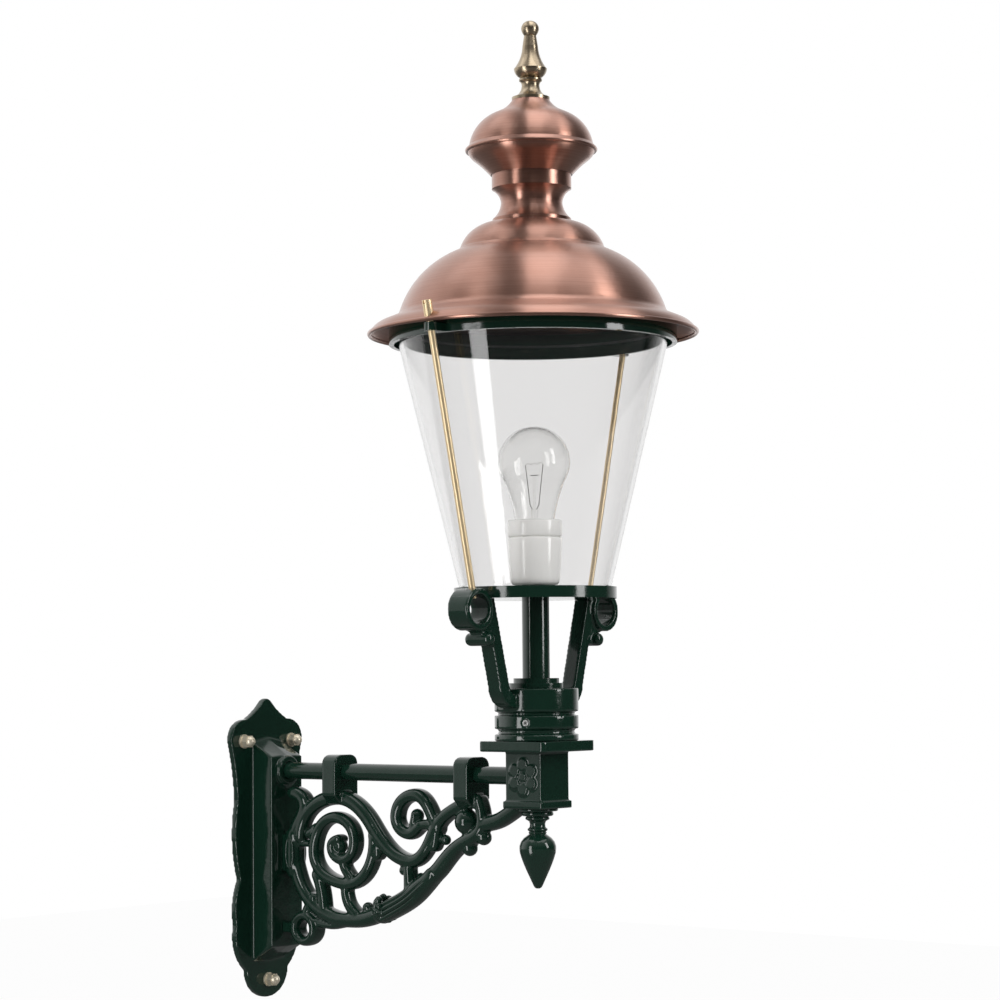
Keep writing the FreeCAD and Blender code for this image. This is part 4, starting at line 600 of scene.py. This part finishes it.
# mouldings that follow a path, fat or thin at each point: ornament on the bracket and the lamp's wires
def mouldingTree():
    tree = bpy.data.node_groups.new("pathMoulding", "GeometryNodeTree")
    tree.interface.new_socket("Geometry", in_out="INPUT", socket_type="NodeSocketGeometry")
    sides = tree.interface.new_socket("Sides", in_out="INPUT", socket_type="NodeSocketInt")
    finish = tree.interface.new_socket("Finish", in_out="INPUT", socket_type="NodeSocketMaterial")
    tree.interface.new_socket("Geometry", in_out="OUTPUT", socket_type="NodeSocketGeometry")
    enter, leave = tree.nodes.new("NodeGroupInput"), tree.nodes.new("NodeGroupOutput")
    toCurve = tree.nodes.new("GeometryNodeMeshToCurve")
    fatness = tree.nodes.new("GeometryNodeInputNamedAttribute")
    fatness.data_type = "FLOAT"
    fatness.inputs["Name"].default_value = "fatness"
    profile = tree.nodes.new("GeometryNodeCurvePrimitiveCircle")
    profile.inputs["Radius"].default_value = 1.0
    sweep = tree.nodes.new("GeometryNodeCurveToMesh")
    sweep.inputs["Fill Caps"].default_value = True
    smooth = tree.nodes.new("GeometryNodeSetShadeSmooth")
    real = tree.nodes.new("GeometryNodeRealizeInstances")
    paint = tree.nodes.new("GeometryNodeSetMaterial")
    tree.links.new(enter.outputs["Geometry"], toCurve.inputs["Mesh"])
    tree.links.new(fatness.outputs["Attribute"], sweep.inputs["Scale"])
    tree.links.new(enter.outputs["Sides"], profile.inputs["Resolution"])
    tree.links.new(toCurve.outputs["Curve"], sweep.inputs["Curve"])
    tree.links.new(profile.outputs["Curve"], sweep.inputs["Profile Curve"])
    tree.links.new(sweep.outputs["Mesh"], smooth.inputs["Geometry"])
    tree.links.new(smooth.outputs["Geometry"], real.inputs["Geometry"])
    tree.links.new(real.outputs["Geometry"], paint.inputs["Geometry"])
    tree.links.new(enter.outputs["Finish"], paint.inputs["Material"])
    tree.links.new(paint.outputs["Geometry"], leave.inputs["Geometry"])
    return tree, sides.identifier, finish.identifier


moulding, sidesId, finishId = mouldingTree()


def addMoulding(name, lines, material, sides):
    verts, edges, fatness = [], [], []
    for points, closed in lines:
        base = len(verts)
        verts.extend(point for point, fat in points)
        fatness.extend(fat for point, fat in points)
        edges.extend((base + step, base + step + 1) for step in range(len(points) - 1))
        if closed:
            edges.append((base + len(points) - 1, base))
    mesh = meshFrom(name + "Path", verts, edges, [])
    store = mesh.attributes.new("fatness", "FLOAT", "POINT")
    store.data.foreach_set("value", fatness)
    path = helperObject(mesh)
    modifier = path.modifiers.new("moulding", "NODES")
    modifier.node_group = moulding
    modifier[sidesId] = sides
    modifier[finishId] = material
    result = takeResult(path)
    print(name, len(result.polygons), "faces")
    return addPiece(name, result, material)


# reeds on the sheath: where they lie across it, then how long, fat and proud each one is, in metres
reedLook = {"stops": [(43.8, 79.2, 24), (57.9, 66.4, 38), (69, 50.8, 47)], "widths": [16.5, 16.5, 12],
            "steps": 16, "offsets": (-0.72, -0.26, 0.22, 0.66), "shortest": 0.62, "longer": 0.36,
            "fat": 0.0021, "tip": 0.35, "bellyFrom": 0.25, "bellyRun": 0.8, "bellyPower": 0.7,
            "depth": 0.0098, "crown": 0.55, "sink": 0.0007, "fall": 0.0013, "taper": 0.25, "sides": 14}


def reedFat(t):
    belly = math.sin(math.pi * min(t * reedLook["bellyRun"] + reedLook["bellyFrom"], 1.0))
    return reedLook["fat"] * (reedLook["tip"] + (1 - reedLook["tip"]) * belly ** reedLook["bellyPower"])


def sheathReeds():
    lines = []
    path = strokePath(reedLook["stops"], reedLook["widths"], reedLook["steps"])
    for side in (-1, 1):
        for offset in reedLook["offsets"]:
            points = []
            reach = reedLook["shortest"] + reedLook["longer"] * (1 - abs(offset))
            stops = [stop for index, stop in enumerate(path) if index <= reach * (len(path) - 1)]
            crown = reedLook["depth"] * math.sqrt(1 - reedLook["crown"] * offset ** 2)
            for index, (point, way, half) in enumerate(stops):
                t = index / (len(stops) - 1)
                across = leftOf(way) * half * offset * (1 - reedLook["taper"] * t)
                depth = crown - reedLook["sink"] - reedLook["fall"] * t
                points.append((point + across + Vector((side * depth, 0, 0)), reedFat(t)))
            lines.append((points, False))
    addMoulding("sheath_reeds", lines, greenPaint, reedLook["sides"])


# two scalloped rows round the neck of the sheath
collarLook = {"at": (43.4, 77.4), "heading": 27, "across": 0.0102, "deep": 0.0101, "rows": (0.0, 0.0036),
              "scallops": 9, "wave": 0.0013, "fat": 0.0022, "swell": 0.35, "steps": 72, "sides": 12}


def leafCollar():
    lines = []
    base, way = gridPoint(*collarLook["at"]), gridWay(collarLook["heading"])
    for row, shift in enumerate(collarLook["rows"]):
        points = []
        for step in range(collarLook["steps"]):
            angle = 2 * math.pi * step / collarLook["steps"]
            wave = collarLook["wave"] * math.cos(collarLook["scallops"] * angle + math.pi * row)
            across = leftOf(way) * collarLook["across"] * math.cos(angle)
            deep = Vector((collarLook["deep"] * math.sin(angle), 0, 0))
            fat = collarLook["fat"] + wave * collarLook["swell"]
            points.append((base + way * (shift + wave) + across + deep, fat))
        lines.append((points, True))
    addMoulding("leaf_collar", lines, greenPaint, collarLook["sides"])


# an oval frame on each side of the bracket's back
cartoucheLook = {"at": (3.9, 47.5), "proud": 0.0077, "across": 0.0042, "tall": 0.0135, "fat": 0.0013,
                 "steps": 36, "sides": 10}


def cartoucheFrames():
    lines = []
    centre = gridPoint(*cartoucheLook["at"])
    for side in (-1, 1):
        points = []
        for step in range(cartoucheLook["steps"]):
            angle = 2 * math.pi * step / cartoucheLook["steps"]
            spoke = Vector((side * cartoucheLook["proud"], cartoucheLook["across"] * math.cos(angle),
                            cartoucheLook["tall"] * math.sin(angle)))
            points.append((centre + spoke, cartoucheLook["fat"]))
        lines.append((points, True))
    addMoulding("cartouche_frames", lines, greenPaint, cartoucheLook["sides"])


sheathReeds()
leafCollar()
cartoucheFrames()


# turned pieces: an outline of (radius, height) in mm, run round the lantern's axis
turnedLook = {"around": 72, "sharpAngle": 0.9}


def turnedPiece(name, rings, foot, material):
    verts, faces = [], []
    around, count = turnedLook["around"], len(rings)
    for step in range(around):
        angle = 2 * math.pi * step / around
        c, s = math.cos(angle), math.sin(angle)
        verts.extend((lampAxis[0] + r * c / 1000, lampAxis[1] + r * s / 1000, foot + z / 1000)
                     for r, z in rings)
    for step in range(around):
        here, there = step * count, (step + 1) % around * count
        for index in range(count):
            following = (index + 1) % count
            faces.append((here + index, there + index, there + following, here + following))
    mesh = meshFrom(name, verts, [], faces)
    build = bmesh.new()
    build.from_mesh(mesh)
    bmesh.ops.remove_doubles(build, verts=build.verts, dist=weldGap)
    bmesh.ops.recalc_face_normals(build, faces=build.faces)
    for face in build.faces:
        face.smooth = True
    for edge in build.edges:
        edge.smooth = not (edge.is_manifold and edge.calc_face_angle() > turnedLook["sharpAngle"])
    build.to_mesh(mesh)
    build.free()
    print(name, len(mesh.polygons), "faces")
    return addPiece(name, mesh, material)


# lamp holder: porcelain with rounded edges and the groove between cup and collar
holderRings = {
    "holder_cup": [(5, 0), (15, 0), (18.6, 0.6), (20.2, 2.6), (20.8, 6), (21.6, 18), (22.4, 34),
                   (22.5, 38.4), (22.1, 39.3), (21.2, 39.85), (19.6, 39.9), (19.6, 12), (5, 12)],
    "holder_collar": [(17.8, 39.95), (21.2, 39.95), (22.1, 40.6), (22.55, 41.6), (22.55, 52.8), (22.2, 53.8),
                      (21.4, 54.25), (17.8, 54.3)]}
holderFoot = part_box("holder_cup")[0].z
for name, rings in holderRings.items():
    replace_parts(turnedPiece(name + "_turned", rings, holderFoot, porcelain), name)

# drop finial: its stud, three stepped discs, a beaded neck and the bud
finialRings = [
    (0, -43.25), (4, -43.25), (4, -52.3),
    (16.6, -52.3), (17.2, -52.9), (17.2, -53.9), (16.4, -54.6),
    (12.2, -55), (13, -55.6), (13.4, -56.6), (13.1, -57.8), (12.2, -58.6),
    (9, -59.1), (9.8, -59.7), (10.1, -60.6), (9.7, -61.6), (8.4, -62.2),
    (6.9, -63.2), (6.4, -65), (6.6, -67.4), (7.3, -68.5), (8.1, -69), (8.4, -69.8), (8.1, -70.6),
    (7.2, -71.1), (7, -71.6), (7.5, -72.1), (7.4, -72.9), (6.9, -73.4),
    (8.6, -74.6), (11.6, -76.8), (14, -79.8), (15.2, -83.2), (15.3, -85.6), (14.8, -89), (13.4, -93.6),
    (11.6, -98.4), (9.4, -103.6), (7, -108.8), (5, -113.2), (3.6, -116.2), (2.6, -117.6), (1.4, -118.2),
    (0, -118.25)]
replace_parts(turnedPiece("drop_finial_turned", finialRings, 0.0, greenPaint), "drop_finial")

# lamp wires: thickness in metres, then heights and half widths in mm, then the filament's sag and wobble
wireLook = {"lead": 0.00034, "leadSides": 8, "filament": 0.00012, "filamentSides": 6,
            "foot": 194.9, "bend": 198.5, "post": 223.4, "top": 231.9,
            "footHalf": 2.2, "bendHalf": 4.6, "barHalf": 3.8, "wide": 9.3,
            "sag": 1.6, "swags": 3, "wobble": 0.2, "wobbleStep": 2.1, "steps": 60}


def lampPoint(y, z):
    return Vector((lampAxis[0], lampAxis[1] + y / 1000, z / 1000))


# two bent leads and a small crossbar on the glass post
def lampLeads():
    lead, barHalf = wireLook["lead"], wireLook["barHalf"]
    stops = [(wireLook["footHalf"], wireLook["foot"]), (wireLook["bendHalf"], wireLook["bend"]),
             (wireLook["wide"], wireLook["top"])]
    lines = [([(lampPoint(side * y, z), lead) for y, z in stops], False) for side in (1, -1)]
    lines.append(([(lampPoint(y, wireLook["post"]), lead) for y in (-barHalf, 0, barHalf)], False))
    piece = addMoulding("lamp_leads_fine", lines, tungsten, wireLook["leadSides"])
    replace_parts(piece, "lamp_leads")


def lampFilament():
    coil = []
    for step in range(wireLook["steps"] + 1):
        t = step / wireLook["steps"]
        sag = wireLook["sag"] * abs(math.sin(wireLook["swags"] * math.pi * t))
        height = wireLook["top"] + sag + wireLook["wobble"] * math.sin(step * wireLook["wobbleStep"])
        coil.append((lampPoint(wireLook["wide"] * (1 - 2 * t), height), wireLook["filament"]))
    piece = addMoulding("lamp_filament_fine", [(coil, False)], tungsten, wireLook["filamentSides"])
    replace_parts(piece, "lamp_filament")


lampLeads()
lampFilament()


# camera, light and ground

view = {"place": (-1.7893, -1.7394, 0.06605), "azimuth": -50.76, "pitch": 3.42, "roll": -0.5,
        "lens": 99.25, "sensor": 36.0, "clip": (0.05, 100.0)}
turn, lift, lean = (math.radians(view[key]) for key in ("azimuth", "pitch", "roll"))
ahead = Vector((-math.sin(turn) * math.cos(lift), math.cos(turn) * math.cos(lift), math.sin(lift)))
rightWay = Vector((math.cos(turn), math.sin(turn), 0.0))
upWay = rightWay.cross(ahead)
acrossWay = rightWay * math.cos(lean) + upWay * math.sin(lean)
riseWay = upWay * math.cos(lean) - rightWay * math.sin(lean)
cameraData = bpy.data.cameras.new("camera")
cameraData.lens = view["lens"]
cameraData.sensor_width = view["sensor"]
cameraData.clip_start, cameraData.clip_end = view["clip"]
camera = bpy.data.objects.new("camera", cameraData)
turned = Matrix((acrossWay, riseWay, -ahead)).transposed().to_4x4()
camera.matrix_world = Matrix.Translation(Vector(view["place"])) @ turned
scene.collection.objects.link(camera)
scene.camera = camera

# softboxes round the lantern's middle, in metres to the camera's right, towards it and up
lightTarget = Vector((0.0, -0.25, 0.2))
towards = Vector((-ahead.x, -ahead.y, 0.0)).normalized()
softboxes = {
    "keyBox": {"right": 1.33, "near": 0.65, "up": 0.4, "size": (0.36, 1.1), "power": 8.0},
    "stripBox": {"right": -1.07, "near": 1.04, "up": -0.3, "size": (0.4, 1.3), "power": 8.2},
    "topBox": {"right": 0.22, "near": 0.4, "up": 1.45, "size": (0.56, 1.5), "power": 5.2, "level": True},
    "rightTopBox": {"right": 0.95, "near": 0.3, "up": 1.5, "size": (0.8, 1.4), "power": 4.0, "level": True},
    "leftTopBox": {"right": -0.9, "near": 0.2, "up": 1.5, "size": (0.8, 1.4), "power": 3.2, "level": True}}
for name, box in softboxes.items():
    lamp = bpy.data.lights.new(name, "AREA")
    lamp.shape = "RECTANGLE"
    lamp.size, lamp.size_y = box["size"]
    lamp.energy = box["power"]
    holder = bpy.data.objects.new(name, lamp)
    place = lightTarget + rightWay * box["right"] + towards * box["near"] + Vector((0, 0, box["up"]))
    if box.get("level"):
        aim = Matrix((rightWay, -towards, Vector((0, 0, 1)))).transposed()
    else:
        aim = (lightTarget - place).to_track_quat("-Z", "Y").to_matrix()
    holder.matrix_world = Matrix.Translation(place) @ aim.to_4x4()
    scene.collection.objects.link(holder)

# white studio: bright behind the lantern, dark in front of it, dimmer overhead
surround = {"behind": 0.95, "front": 0.03, "fade": (0.0, 0.6), "swing": math.radians(28),
            "zenith": 0.34, "zenithFade": (0.15, 0.9), "fill": 0.95}


def studioWorld():
    world = bpy.data.worlds.new("studio")
    world.use_nodes = True
    tree = world.node_tree
    tree.nodes.clear()
    coords = tree.nodes.new("ShaderNodeTexCoord").outputs["Generated"]
    facing = tree.nodes.new("ShaderNodeVectorMath")
    facing.operation = "DOT_PRODUCT"
    swing = surround["swing"]
    brightWay = (ahead * math.cos(swing) - rightWay * math.sin(swing)).normalized()
    facing.inputs[1].default_value = (brightWay.x, brightWay.y, 0.0)
    tree.links.new(coords, facing.inputs[0])
    ends = (surround["front"], surround["behind"])
    sides = addRange(tree, facing.outputs["Value"], surround["fade"], ends)
    skyWay = tree.nodes.new("ShaderNodeSeparateXYZ")
    tree.links.new(coords, skyWay.inputs[0])
    overhead = addRange(tree, skyWay.outputs["Z"], surround["zenithFade"], (0.0, surround["zenith"]))
    rays, seen = plainSight(tree)
    fill = addMath(tree, "MULTIPLY", rays.outputs["Is Diffuse Ray"], surround["fill"])
    level = addMath(tree, "MAXIMUM", addMath(tree, "MAXIMUM", sides, overhead),
                    addMath(tree, "MAXIMUM", seen, fill))
    background = tree.nodes.new("ShaderNodeBackground")
    background.inputs["Color"].default_value = (1, 1, 1, 1)
    tree.links.new(level, background.inputs["Strength"])
    out = tree.nodes.new("ShaderNodeOutputWorld")
    tree.links.new(background.outputs["Background"], out.inputs["Surface"])
    return world


scene.world = studioWorld()

# pale floor: grey to the light that falls on it, and nearly white to the camera
ground = {"height": -1.3, "half": 10.0, "colour": (0.14, 0.14, 0.14, 1), "rough": 0.9,
          "white": 0.55, "glow": 1.65}
corners = [(x * ground["half"], y * ground["half"], ground["height"])
           for x, y in ((-1, -1), (1, -1), (1, 1), (-1, 1))]
groundMesh = meshFrom("ground", corners, [], [(0, 1, 2, 3)])
floor = bpy.data.objects.new("floor", groundMesh)
scene.collection.objects.link(floor)
floorMat, tree, shader, surface = newMaterial("paleFloor")
setSockets(shader, {"Base Color": ground["colour"], "Roughness": ground["rough"]})
glow = tree.nodes.new("ShaderNodeEmission")
glow.inputs["Strength"].default_value = ground["glow"]
whiteness = addMath(tree, "MULTIPLY", plainSight(tree)[1], ground["white"])
mixShaders(tree, whiteness, shader.outputs["BSDF"], glow.outputs["Emission"], surface)
groundMesh.materials.append(floorMat)
scene.view_settings.view_transform = "Standard"
print("camera, light and floor ready")
